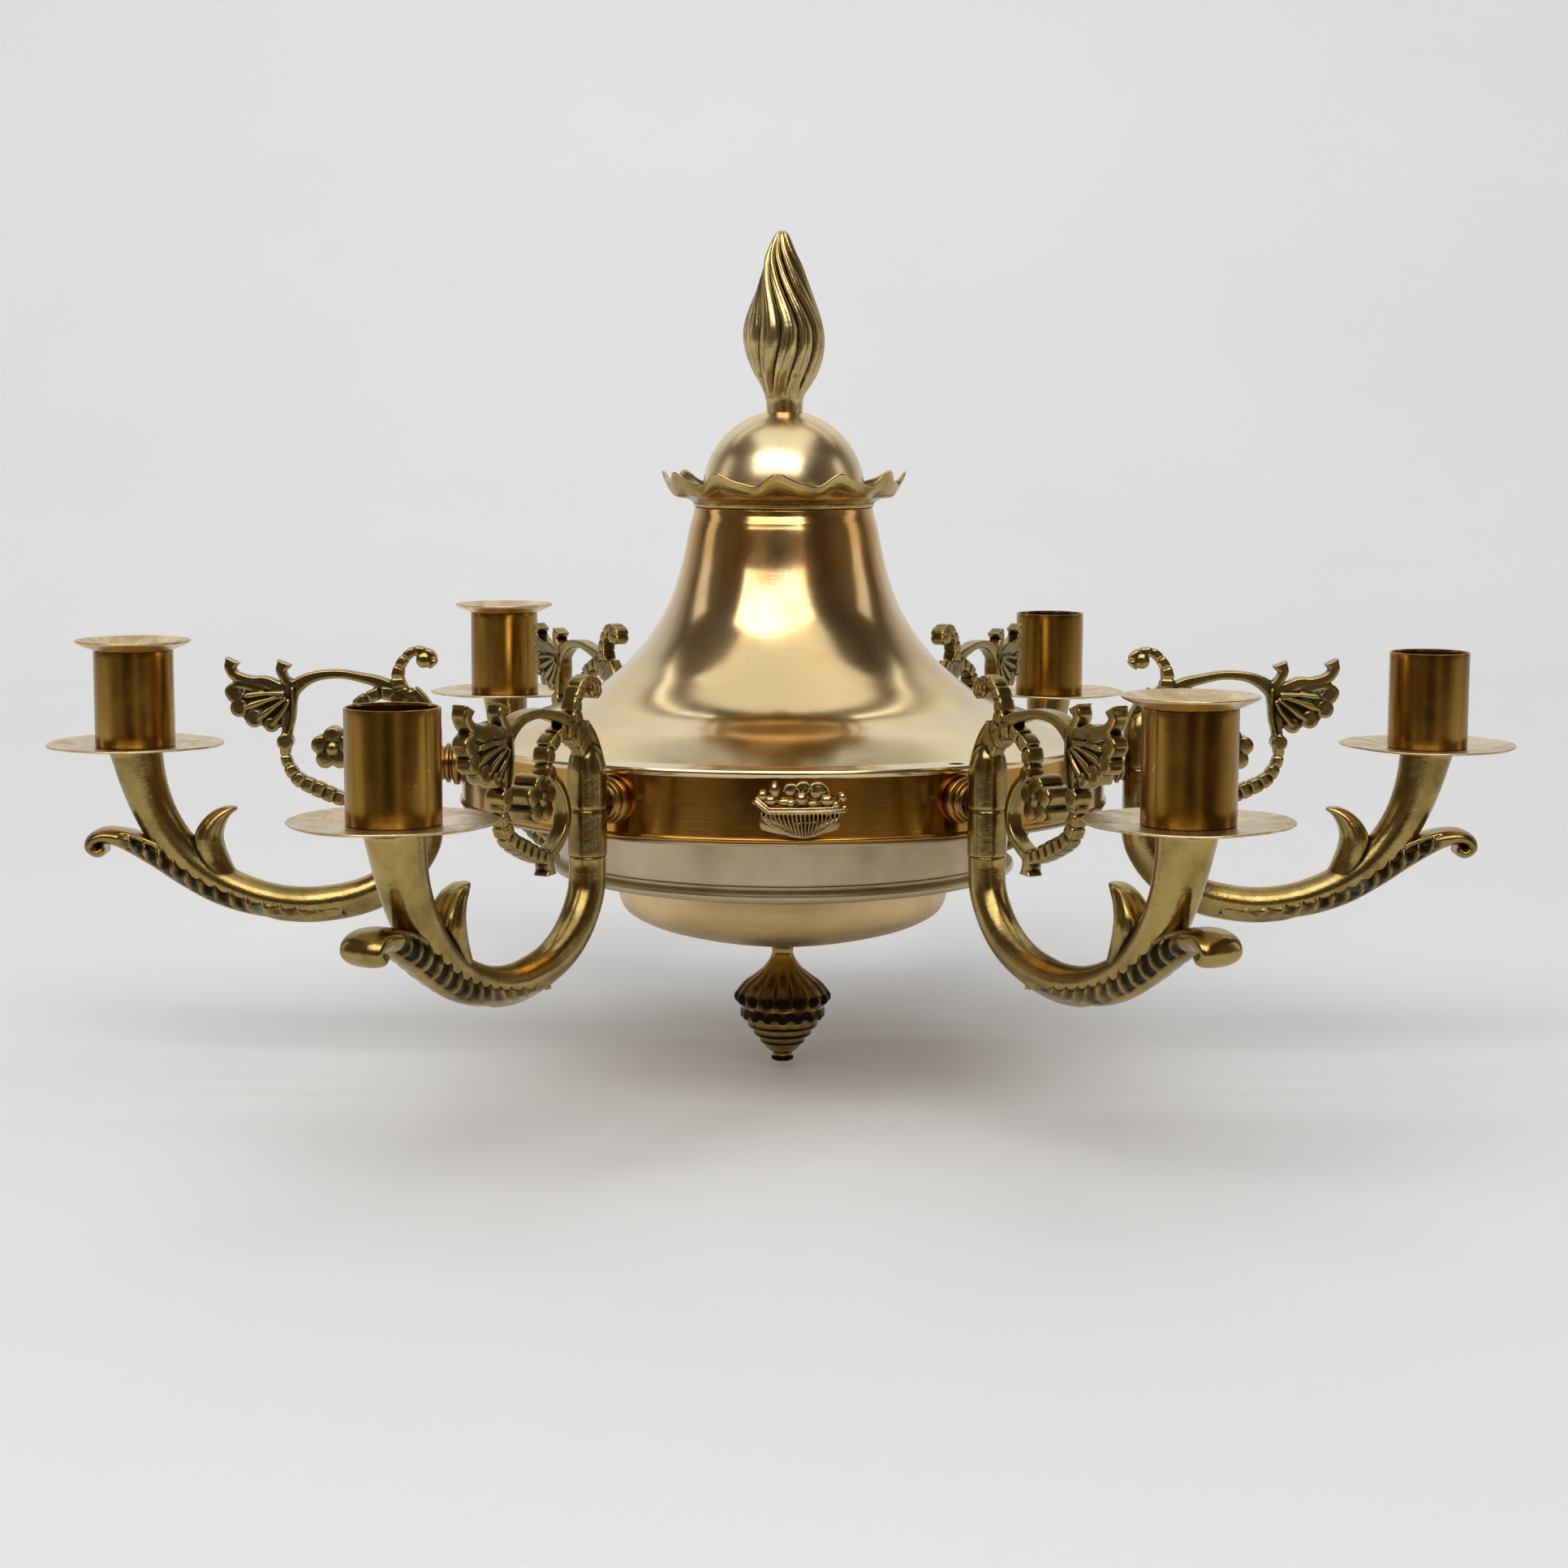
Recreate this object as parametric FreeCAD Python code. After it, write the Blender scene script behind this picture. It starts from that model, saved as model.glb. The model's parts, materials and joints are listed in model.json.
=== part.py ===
import FreeCAD, Part
import math
import os

# Six-armed candle chandelier in cast and spun brass. Millimetres, +Z up.
# The origin is the centre of the circle of chain holes, on the top face of the bell's rim.
# An arm is drawn in the XZ plane (X is the distance from the axis) and turned about Z.

Vector = FreeCAD.Vector

# ---- arms ----
arm_count = 6
arm_reach = 205.0            # axis to the centre of a candle cup
collar_axis_z = -10.0        # height of the mounting collars and studs
collar_length = 6.8          # gap between the band and an arm
collar_radius = 7.0
# ribs of a collar: share of its length, share of its radius
collar_steps = ((0.0, 0.74), (0.2, 0.74), (0.2, 1.0), (0.48, 1.0), (0.48, 0.78),
                (0.6, 0.78), (0.6, 0.92), (0.8, 0.92), (0.8, 0.8), (1.0, 0.8))
stud_radius = 2.0
stud_inner_reach = 9.0       # stud left inside the band
stud_grip = 4.6              # stud length inside the bracket

# ---- scroll bracket ----
socket_radius = 5.6
socket_bottom_z = -24.6
socket_top_z = 1.0
socket_bore_depth = 10.0
pad_width = 6.4              # flat pad behind the socket, where the collar bears
bracket_rise = 37.0          # collar axis to the top of the scroll
bracket_thickness = 5.0
flower_thickness = 8.6
eye_thickness = 10.0         # raised centre of the flower
bead_thickness = 6.0
petal_radius = 2.9
petal_count = 5
petal_reach = 3.9            # flower's centre to a petal's centre
palmette_gap = 0.9           # palmette to the edge of the drip plate, seen from above

# ---- branch ----
spigot_radius = 4.0
tube_radius = 5.3
branch_drop = 51.8           # drip plate's underside to the lowest leaf edge
stem_mouth_radius = 8.3
leaf_width = 13.0
sprout_width = 11.5

# ---- drip plate, cup and candle ring ----
plate_top_z = -4.6
plate_radius = 27.75
plate_flat_margin = 2.0      # flat of the plate beyond the cup
plate_lift = 1.2
plate_thickness = 0.8
cup_radius = 12.5
cup_height = 30.4
cup_wall = 0.8
cup_floor = 2.2
screw_radius = 1.9
screw_head_radius = 3.2
screw_head_height = 1.2
screw_grip = 9.0
ring_flange_radius = 18.15
ring_neck_depth = 9.0
ring_lift = 2.6
ring_wall = 0.8
ring_arms = (3, 4, 6)        # the arms, counted from +X, whose cups carry a loose ring

# ---- drum, bell and pans ----
drum_radius = 101.5
drum_bottom_z = -20.9
drum_wall = 1.2
drum_bead = 0.8
sheet = 1.2                  # bell and pan metal
bell_height = 71.1
bell_top_radius = 28.2
bell_foot_radius = 64.4
bell_foot_z = 10.9
# side of the bell: shares of the spread from top to foot, and of the rise from foot to top
bell_flare = ((0.0, 0.97), (0.035, 0.9), (0.11, 0.69), (0.24, 0.47), (0.47, 0.26), (0.7, 0.125), (1.0, 0.0))
rim_lip = 1.3                # rolled edge outside the band
rim_lip_depth = 2.2
chain_hole_radius = 2.2
chain_hole_count = 3
pan_radius = 72.0
pan_depth = 21.7             # from the band's lower edge to the pan's floor
pan_bead_radius = 1.6
pan_floor_radius = 50.0
dish_radius = 52.5
dish_wall_depth = 8.0
dish_depth = 24.5
dish_corner = 8.4
# edge of the dish under its wall: shares of the corner size, inward and down
dish_edge = ((0.0, 0.0), (0.25, 0.6), (0.8, 1.1), (1.6, 1.45))

# ---- collar, dome and finials ----
scallop_radius = 37.4
scallop_base_radius = 28.0
scallop_height = 10.2
scallop_count = 12
scallop_wave = 1.7
scallop_wall = 2.4
scallop_floor = 2.0
# side of the collar: shares of the spread and of the height, and how much of the wave is there
scallop_side = ((0.0, 0.0, 0.0), (0.72, 0.36, 0.5), (0.95, 0.62, 1.0), (1.0, 1.0, 1.0))
dome_radius = 25.4
dome_skirt = 2.8
dome_wall = 1.2
dome_flat_angle = 13.0       # half angle of the flat on the dome's top
flame_height = 55.8
flame_belly_radius = 12.6
flame_strands = 6
flame_strand_depth = 0.9
flame_twist = 2.2            # turn of the strands from neck to tip, radians
# flame: share of the height, share of the belly radius, share of the strand depth
flame_stages = ((0.0, 0.46, 0.0), (0.09, 0.46, 0.0), (0.18, 0.62, 0.5), (0.27, 0.84, 1.0),
                (0.37, 0.97, 1.0), (0.46, 0.98, 1.0), (0.58, 0.84, 1.0), (0.7, 0.64, 0.9),
                (0.82, 0.42, 0.7), (0.93, 0.2, 0.4), (1.0, 0.07, 0.0))
pendant_length = 39.2
pendant_radius = 14.2
pendant_neck_radius = 3.5
pendant_flutes = 16
flute_bulge = 1.9
# pendant: share of the length going down, share of the belly radius
pendant_shoulder = ((0.07, 0.25), (0.17, 0.31), (0.28, 0.62), (0.4, 0.95), (0.46, 1.0))
pendant_rings = ((0.55, 0.95), (0.63, 0.9), (0.65, 0.76), (0.73, 0.7), (0.75, 0.58), (0.83, 0.5),
                 (0.91, 0.28))

# ---- centre rod ----
rod_radius = 3.0
rod_grip = 11.0              # rod length inside each finial
nut_height = 4.0
rod_nut_radius = 5.8         # to a hexagon's corner
stud_nut_radius = 4.0
washer_radius = 5.2

# ---- basket applique ----
basket_azimuth = -88.0
basket_width = 27.0
basket_body_width = 21.0
basket_depth = 3.6
basket_ribs = 15
basket_rim_z = -12.0
basket_body_height = 6.6
basket_rim_height = 2.0
basket_root = 3.0            # depth drawn behind the band's face before it is cut to fit
fruit_radius = 2.5
fruit_lift = 1.6             # first row of fruit above the rim's middle
# rows of fruit: count, share of the width, lift in fruit radii, share of the fruit radius
fruit_rows = ((5, 0.86, 0.3, 1.0), (4, 0.66, 1.35, 0.96), (3, 0.4, 2.3, 0.84))
rivet_radius = 0.9
rivet_head_height = 1.0
rivet_spread = 7.56          # from the basket's middle to a rivet

# ---- clearances ----
thread_gap = 0.05
hole_gap = 0.2
ring_gap = 0.2
tiny = 1e-6

# ---- derived places ----
drum_inner = drum_radius - drum_wall
chain_circle_radius = drum_inner - chain_hole_radius - hole_gap
rim_radius = drum_radius + rim_lip
land_inner = chain_circle_radius - chain_hole_radius - hole_gap * 2
pad_x = drum_radius + collar_length
tube_x = pad_x + socket_radius
spigot_reach = socket_bore_depth - hole_gap
plate_bottom_z = plate_top_z - plate_thickness
plate_flat_radius = cup_radius + plate_flat_margin
cup_floor_z = plate_top_z + cup_floor
cup_top_z = plate_top_z + cup_height
cup_bore = cup_radius - cup_wall
ring_neck_radius = cup_bore - ring_gap
bracket_span = arm_reach - plate_radius - palmette_gap - tube_x
collar_floor_z = bell_height
dome_base_z = collar_floor_z + scallop_floor
flame_base_z = dome_base_z + dome_skirt + dome_radius * math.cos(math.radians(dome_flat_angle))
pan_floor_z = drum_bottom_z - pan_depth
dish_bottom_z = pan_floor_z - dish_depth
rod_hole = rod_radius + hole_gap


# ---- drawing helpers ----
def at(points):
    """Points of the XZ plane as vectors."""
    return [Vector(x, 0, z) for x, z in points]


def smooth(vectors, closed=False):
    """A smooth curve through the vectors."""
    curve = Part.BSplineCurve()
    curve.interpolate(vectors, PeriodicFlag=closed)
    return curve.toShape()


def outline(items):
    """A face in the XZ plane: a tuple is a corner, a list of tuples is a smooth stretch."""
    edges = []
    start = None
    last = None
    for item in items:
        vectors = at(item if isinstance(item, list) else [item])
        if last is not None and last.distanceToPoint(vectors[0]) > tiny:
            edges.append(Part.LineSegment(last, vectors[0]).toShape())
        if len(vectors) > 1:
            edges.append(smooth(vectors))
        start = start or vectors[0]
        last = vectors[-1]
    if last.distanceToPoint(start) > tiny:
        edges.append(Part.LineSegment(last, start).toShape())
    return Part.Face(Part.Wire(edges))


def turned(items):
    """A solid of revolution about Z from its half section."""
    return outline(items).revolve(Vector(0, 0, 0), Vector(0, 0, 1), 360)


def arc(centre, radius, start, stop, count=7):
    """Points along a circular arc in the XZ plane, angles in degrees from +X."""
    steps = [start + (stop - start) * i / (count - 1) for i in range(count)]
    return [(centre[0] + radius * math.cos(math.radians(a)), centre[1] + radius * math.sin(math.radians(a)))
            for a in steps]


def offset(points, distance):
    """The curve's points moved sideways, to the right of the direction of travel."""
    moved = []
    for i, (x, z) in enumerate(points):
        ahead = points[min(i + 1, len(points) - 1)]
        behind = points[max(i - 1, 0)]
        dx = ahead[0] - behind[0]
        dz = ahead[1] - behind[1]
        size = math.hypot(dx, dz)
        moved.append((x + distance * dz / size, z - distance * dx / size))
    return moved


def rod_x(radius, x0, x1, z):
    """A round bar along X."""
    return Part.makeCylinder(radius, x1 - x0, Vector(x0, 0, z), Vector(1, 0, 0))


def rod_z(radius, z0, z1, x=0.0):
    """A round bar along Z."""
    return Part.makeCylinder(radius, z1 - z0, Vector(x, 0, z0), Vector(0, 0, 1))


def hexagon(corner_radius, height, base, direction):
    """A hexagonal prism standing on base."""
    corners = [Vector(x, y, 0) for x, y in arc((0, 0), corner_radius, 0, 360, 7)]
    prism = Part.Face(Part.makePolygon(corners)).extrude(Vector(0, 0, height))
    prism.Placement = FreeCAD.Placement(base, FreeCAD.Rotation(Vector(0, 0, 1), direction))
    return prism


def fuse(shapes):
    """All the shapes as one solid."""
    return shapes[0].multiFuse(shapes[1:]).removeSplitter()


def turn(shape, azimuth):
    """A copy turned about Z."""
    copy = shape.copy()
    copy.rotate(Vector(0, 0, 0), Vector(0, 0, 1), azimuth)
    return copy


def azimuth_of(arm):
    """Direction of an arm, numbered from 1 at +X, counter-clockwise from above."""
    return (arm - 1) * 360.0 / arm_count


def around(shape):
    """One copy of the shape at every arm, as separate solids."""
    return Part.makeCompound([turn(shape, azimuth_of(arm)) for arm in range(1, arm_count + 1)])


def lobed_ring(radius, z, wave, count, twist=0.0, per_lobe=6):
    """A closed wavy curve around Z."""
    steps = count * per_lobe
    points = []
    for i in range(steps):
        angle = 2 * math.pi * i / steps
        r = radius + wave * math.cos(count * (angle - twist))
        points.append(Vector(r * math.cos(angle), r * math.sin(angle), z))
    return Part.Wire(smooth(points, closed=True))


def section(centre, direction, half_height, half_width, count=12):
    """An oval across a path in the XZ plane: half_height in the plane, half_width along Y."""
    across = Vector(-direction[1], 0, direction[0]).normalize()
    middle = Vector(centre[0], 0, centre[1])
    points = []
    for i in range(count):
        angle = 2 * math.pi * i / count
        sideways = Vector(0, half_width * math.sin(angle), 0)
        points.append(middle + across * (half_height * math.cos(angle)) + sideways)
    return Part.Wire(smooth(points, closed=True))


def swept(path, halves):
    """A solid along a path in the XZ plane, with its (half_height, half_width) at each point."""
    wires = []
    for i, centre in enumerate(path):
        ahead = path[min(i + 1, len(path) - 1)]
        behind = path[max(i - 1, 0)]
        wires.append(section(centre, (ahead[0] - behind[0], ahead[1] - behind[1]), *halves[i]))
    return Part.makeLoft(wires, True, False)


def strap(path, widths):
    """The outline of a curved strap in the XZ plane, its width set at each point of its centre line."""
    left = []
    right = []
    for i in range(len(path)):
        span = path[max(i - 1, 0):i + 2]
        middle = 1 if i else 0
        right.append(offset(span, widths[i] / 2)[middle])
        left.append(offset(span, -widths[i] / 2)[middle])
    return outline([right, left[::-1]])


def disc(centre, radius):
    """A round outline in the XZ plane."""
    return Part.Face(Part.Wire(Part.makeCircle(radius, Vector(centre[0], 0, centre[1]), Vector(0, 1, 0))))


def slab(faces, thickness):
    """Plates from outlines in the XZ plane, centred on it."""
    plates = []
    for face in faces:
        face.translate(Vector(0, thickness / 2, 0))
        plates.append(face.extrude(Vector(0, -thickness, 0)))
    return plates


# ---- turned and spun pieces on the axis ----
def bell_cover():
    """Spun bell: closed top, flared side, conical shoulder, flat rim with a rolled lip."""
    rise = bell_height - bell_foot_z
    spread = bell_foot_radius - bell_top_radius
    flare = [(bell_top_radius + spread * f, bell_foot_z + rise * g) for f, g in bell_flare]
    inside = offset(flare, sheet)
    lip = [(rim_radius - rim_lip / 2, 0.0), (rim_radius, -rim_lip / 2)]
    shell = turned([
        (rod_hole, bell_height), (bell_top_radius, bell_height), flare, (land_inner, 0.0),
        *lip, (rim_radius, -rim_lip_depth), (drum_radius + hole_gap, -rim_lip_depth),
        (drum_radius + hole_gap, -sheet), (land_inner, -sheet), inside[::-1],
        (bell_top_radius - sheet, bell_height - sheet), (rod_hole, bell_height - sheet)])
    hole = rod_z(chain_hole_radius, -sheet * 2, sheet, chain_circle_radius)
    first = azimuth_of(arm_count)
    holes = [turn(hole, first + i * 360.0 / chain_hole_count) for i in range(chain_hole_count)]
    return shell.cut(Part.makeCompound(holes))


def drum_band():
    """Plain cylinder under the bell's rim with a bead round its lower edge."""
    bead = arc((drum_radius, drum_bottom_z + drum_bead), drum_bead, -90, 90)
    band = turned([(drum_inner, -sheet), (drum_radius, -sheet), bead[::-1], (drum_inner, drum_bottom_z)])
    drills = around(rod_x(stud_radius + hole_gap, drum_inner - 1, drum_radius + 1, collar_axis_z))
    return band.cut(drills).cut(turn(rivets(hole_gap / 2), basket_azimuth))


def pan_flange():
    """Flat ring under the band, with an upright edge that centres it inside the band."""
    inner = pan_radius - sheet
    locating = drum_inner - hole_gap
    flange_z = drum_bottom_z - sheet
    edge_z = drum_bottom_z + 2 * sheet
    return turned([
        (inner, flange_z), (inner, drum_bottom_z), (locating - sheet, drum_bottom_z),
        (locating - sheet, edge_z), (locating, edge_z), (locating, drum_bottom_z),
        (drum_radius, drum_bottom_z), (drum_radius, flange_z)])


def lower_pan():
    """First tier: straight wall under the flange, beaded foot and a floor ring."""
    foot_z = pan_floor_z + pan_bead_radius
    inner = pan_radius - sheet
    flange_z = drum_bottom_z - sheet
    bead = arc((inner, foot_z), pan_bead_radius + sheet, 60, -90)
    return turned([
        (pan_floor_radius, pan_floor_z - sheet), (pan_floor_radius, pan_floor_z),
        (inner - sheet, pan_floor_z), (inner, foot_z), (inner, flange_z), (pan_radius, flange_z), bead])


def bottom_dish():
    """Second tier: straight wall, rounded edge and a shallow cone down to the pendant."""
    top_z = pan_floor_z - sheet
    wall_z = top_z - dish_wall_depth
    neck = pendant_neck_radius * 2
    side = [(dish_radius - dish_corner * f, wall_z - dish_corner * g) for f, g in dish_edge]
    inside = offset(side, sheet)
    return turned([
        (rod_hole, dish_bottom_z + sheet), (neck, dish_bottom_z + sheet), inside[::-1],
        (dish_radius - sheet, top_z), (dish_radius, top_z), side, (neck, dish_bottom_z),
        (rod_hole, dish_bottom_z)])


def wavy(levels):
    """A solid through wavy rings, each given as radius, height and wave."""
    return Part.makeLoft([lobed_ring(r, z, wave, scallop_count) for r, z, wave in levels], True, False)


def scalloped_collar():
    """Cast dish with a thick wavy rim, open at the top."""
    spread = scallop_radius - scallop_base_radius
    levels = [(scallop_base_radius + spread * f, collar_floor_z + scallop_height * g, scallop_wave * w)
              for f, g, w in scallop_side]
    inner_levels = [(r - scallop_wall, z + scallop_wall * 0.9, w) for r, z, w in levels]
    recess = rod_z(dome_radius + hole_gap * 1.5, dome_base_z, collar_floor_z + 2 * scallop_height)
    bore = rod_z(rod_hole, collar_floor_z - 1, dome_base_z + 1)
    return wavy(levels).cut(wavy(inner_levels)).cut(recess).cut(bore)


def dome_cap():
    """Polished half ball on a short skirt, standing in the collar."""
    spring_z = dome_base_z + dome_skirt
    outer = arc((0.0, spring_z), dome_radius, 0, 90 - dome_flat_angle, 9)
    inner = arc((0.0, spring_z), dome_radius - dome_wall, 0, 90 - dome_flat_angle, 9)
    return turned([
        (dome_radius - dome_wall, dome_base_z), (dome_radius, dome_base_z), outer,
        (rod_hole, flame_base_z), (rod_hole, inner[-1][1]), inner[::-1]])


def flame_finial():
    """Cast flame: plain neck, then twisted strands that gather at the tip."""
    rings = [lobed_ring(flame_belly_radius * k, flame_base_z + flame_height * h, flame_strand_depth * w,
                        flame_strands, flame_twist * h, 8) for h, k, w in flame_stages]
    thread = rod_z(rod_radius + thread_gap, flame_base_z - 1, flame_base_z + rod_grip + 1)
    return Part.makeLoft(rings, True, False).cut(thread)


def pendant_finial():
    """Turned drop: neck, fluted shoulder, stepped rings and a round knob."""
    def place(share, width):
        return (pendant_radius * width, dish_bottom_z - pendant_length * share)

    shoulder = [place(*item) for item in pendant_shoulder]
    rings = [place(*item) for item in pendant_rings]
    knob = arc(place(0.95, 0.0), pendant_length * 0.05, 30, -80)
    body = turned([(0, dish_bottom_z), (pendant_neck_radius * 1.5, dish_bottom_z), shoulder, *rings, knob,
                   (0, knob[-1][1])])
    belly_z = shoulder[-1][1]
    flute = Part.makeSphere(flute_bulge, Vector(pendant_radius - flute_bulge * 0.5, 0, belly_z))
    flutes = [turn(flute, i * 360.0 / pendant_flutes) for i in range(pendant_flutes)]
    thread = rod_z(rod_radius + thread_gap, dish_bottom_z - rod_grip - 1, dish_bottom_z + 1)
    return fuse([body] + flutes).cut(thread)


def rod_nuts():
    """Two hexagon nuts on the rod: under the bell's top and on the dish's floor."""
    bore = rod_z(rod_radius + thread_gap, dish_bottom_z, bell_height)
    heights = (bell_height - sheet - nut_height, dish_bottom_z + sheet)
    nuts = [hexagon(rod_nut_radius, nut_height, Vector(0, 0, z), Vector(0, 0, 1)).cut(bore) for z in heights]
    return Part.makeCompound(nuts)


# ---- pieces that hold an arm ----
def arm_collar():
    """Turned spacer with ribbed rings, hollowed to sit on the band."""
    root = drum_radius - 1.0
    hole = stud_radius + thread_gap
    points = [(hole, root), (collar_radius * collar_steps[0][1], root)]
    points += [(collar_radius * k, drum_radius + collar_length * s) for s, k in collar_steps[1:]]
    spacer = turned(points + [(hole, pad_x)])
    spacer.rotate(Vector(0, 0, 0), Vector(0, 1, 0), 90)
    spacer.translate(Vector(0, 0, collar_axis_z))
    return spacer.cut(rod_z(drum_radius, drum_bottom_z, 0))


def arm_studs():
    """Threaded studs from inside the band into the brackets."""
    return around(rod_x(stud_radius, drum_inner - stud_inner_reach, pad_x + stud_grip, collar_axis_z))


def arm_washers():
    """Saddle washers inside the band."""
    blank = rod_x(washer_radius, drum_inner - 2 * sheet, drum_radius, collar_axis_z)
    hollow = blank.common(rod_z(drum_inner, drum_bottom_z, 0))
    return around(hollow.cut(rod_x(stud_radius + thread_gap, drum_inner - 9, drum_radius + 1, collar_axis_z)))


def arm_nuts():
    """Hexagon nuts on the studs, against the washers."""
    start = drum_inner - 2 * sheet - nut_height
    nut = hexagon(stud_nut_radius, nut_height, Vector(start, 0, collar_axis_z), Vector(1, 0, 0))
    return around(nut.cut(rod_x(stud_radius + thread_gap, start - 1, start + nut_height + 1, collar_axis_z)))


# ---- scroll bracket ----
def bracket_point(u, v):
    """A place on the bracket: u outward from the socket's axis, v up from the collar's axis."""
    return (tube_x + bracket_span * u, collar_axis_z + bracket_rise * v)


def bracket_strap(points, widths):
    """A strap of the bracket along (u, v) points."""
    return strap([bracket_point(u, v) for u, v in points], widths)


def scroll_bracket():
    """Flat pierced casting: socket, top scroll, arch, palmette, tendril with a flower, ribbed C curve."""
    shell = [rod_z(socket_radius, socket_bottom_z, socket_top_z, tube_x),
             Part.makeSphere(socket_radius, Vector(tube_x, 0, socket_top_z))]
    pad = Part.makeBox(socket_radius, pad_width, socket_top_z - socket_bottom_z,
                       Vector(pad_x, -pad_width / 2, socket_bottom_z))
    shoulder = bracket_strap([(0.01, 0.24), (0.02, 0.4), (0.06, 0.52), (0.11, 0.6)], [9.6, 9.2, 8.0, 6.2])
    scroll = bracket_strap([(0.1, 0.55), (0.12, 0.72), (0.105, 0.86), (0.04, 0.965), (-0.03, 0.95),
                            (-0.05, 0.88), (-0.02, 0.83)], [6, 3.8, 3.0, 2.6, 2.6, 2.6, 2.2])
    volute = disc(bracket_point(-0.01, 0.885), 2.4)
    arch = bracket_strap([(0.1, 0.57), (0.21, 0.685), (0.32, 0.735), (0.43, 0.765), (0.54, 0.74),
                          (0.63, 0.67), (0.69, 0.56)], [5, 3.6, 2.6, 2.4, 2.8, 4.0, 5.0])
    horn = bracket_strap([(0.66, 0.64), (0.71, 0.75), (0.72, 0.82), (0.69, 0.85)], [2.6, 2.4, 2.0, 1.2])
    stem = bracket_strap([(0.68, 0.62), (0.68, 0.48), (0.683, 0.32), (0.697, 0.18), (0.694, 0.03),
                          (0.64, -0.13), (0.535, -0.225), (0.43, -0.3), (0.35, -0.34)],
                         [4, 3.4, 3, 3, 3, 3.8, 4.4, 4, 3.2])
    bead = disc(bracket_point(0.697, 0.185), 2.3)
    leaf_top = bracket_strap([(0.68, 0.6), (0.785, 0.705), (0.865, 0.715), (0.945, 0.755), (0.97, 0.825),
                              (0.945, 0.89)], [3.4, 3, 2.6, 3, 2.8, 1.6])
    leaf_high = bracket_strap([(0.69, 0.56), (0.82, 0.66), (0.93, 0.675), (0.975, 0.605), (0.93, 0.54)],
                              [3, 2.4, 2.2, 2.2, 2.2])
    leaf_rib = bracket_strap([(0.94, 0.545), (0.83, 0.55), (0.69, 0.52)], [2.2, 2.2, 3])
    leaf_mid = bracket_strap([(0.92, 0.54), (0.945, 0.47), (0.92, 0.4), (0.86, 0.38), (0.8, 0.43),
                              (0.7, 0.5)], [2.2, 2.2, 2.4, 2.6, 2.8, 3.4])
    leaf_low = bracket_strap([(0.69, 0.5), (0.78, 0.45), (0.83, 0.38), (0.8, 0.32)], [3.6, 3.4, 3.2, 2.6])
    leaf_foot = bracket_strap([(0.69, 0.5), (0.72, 0.42), (0.76, 0.33)], [4.4, 4.8, 4.0])
    tendril = bracket_strap([(0.08, 0.5), (0.18, 0.6), (0.28, 0.56), (0.34, 0.475), (0.35, 0.355),
                             (0.34, 0.26)], [5, 3.6, 3.4, 3.6, 3.2, 2.8])
    inner_curve = bracket_strap([(0.34, 0.28), (0.29, 0.24), (0.245, 0.16), (0.21, 0.04), (0.205, -0.06),
                                 (0.225, -0.16), (0.275, -0.25), (0.34, -0.32)],
                                [2.2, 2.2, 2.2, 2.2, 2.4, 2.6, 2.6, 3])
    tail = bracket_strap([(0.36, -0.31), (0.35, -0.38), (0.345, -0.47)], [4, 2.8, 4.2])
    centre = bracket_point(0.455, 0.13)
    petals = [disc(place, petal_radius) for place in arc(centre, petal_reach, 18, 306, petal_count)]
    neck = bracket_strap([(0.34, 0.28), (0.4, 0.2)], [3, 3])
    plate = slab([shoulder, scroll, volute, arch, horn, stem, leaf_top, leaf_high, leaf_rib, leaf_mid,
                  leaf_low, leaf_foot, tendril, inner_curve, tail, neck], bracket_thickness)
    flower = slab(petals + [disc(centre, petal_reach)], flower_thickness)
    eye = slab([disc(centre, petal_radius * 0.8)], eye_thickness)
    knuckle = slab([bead], bead_thickness)
    casting = fuse(shell + [pad] + plate + flower + eye + knuckle)
    bore = rod_z(spigot_radius + thread_gap, socket_bottom_z - 1, socket_bottom_z + socket_bore_depth, tube_x)
    stud = rod_x(stud_radius + thread_gap, pad_x - 1, pad_x + stud_grip + thread_gap, collar_axis_z)
    return casting.cut(bore).cut(stud)


# ---- arm branch ----
def branch_point(f, g):
    """A place on the branch: f from the tube's axis to the cup's, g down from the plate's underside."""
    return (tube_x + (arm_reach - tube_x) * f, plate_bottom_z - branch_drop * g)


def branch_sweep(points, halves):
    """A rounded limb of the branch along (f, g) points."""
    return swept([branch_point(f, g) for f, g in points], halves)


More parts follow.
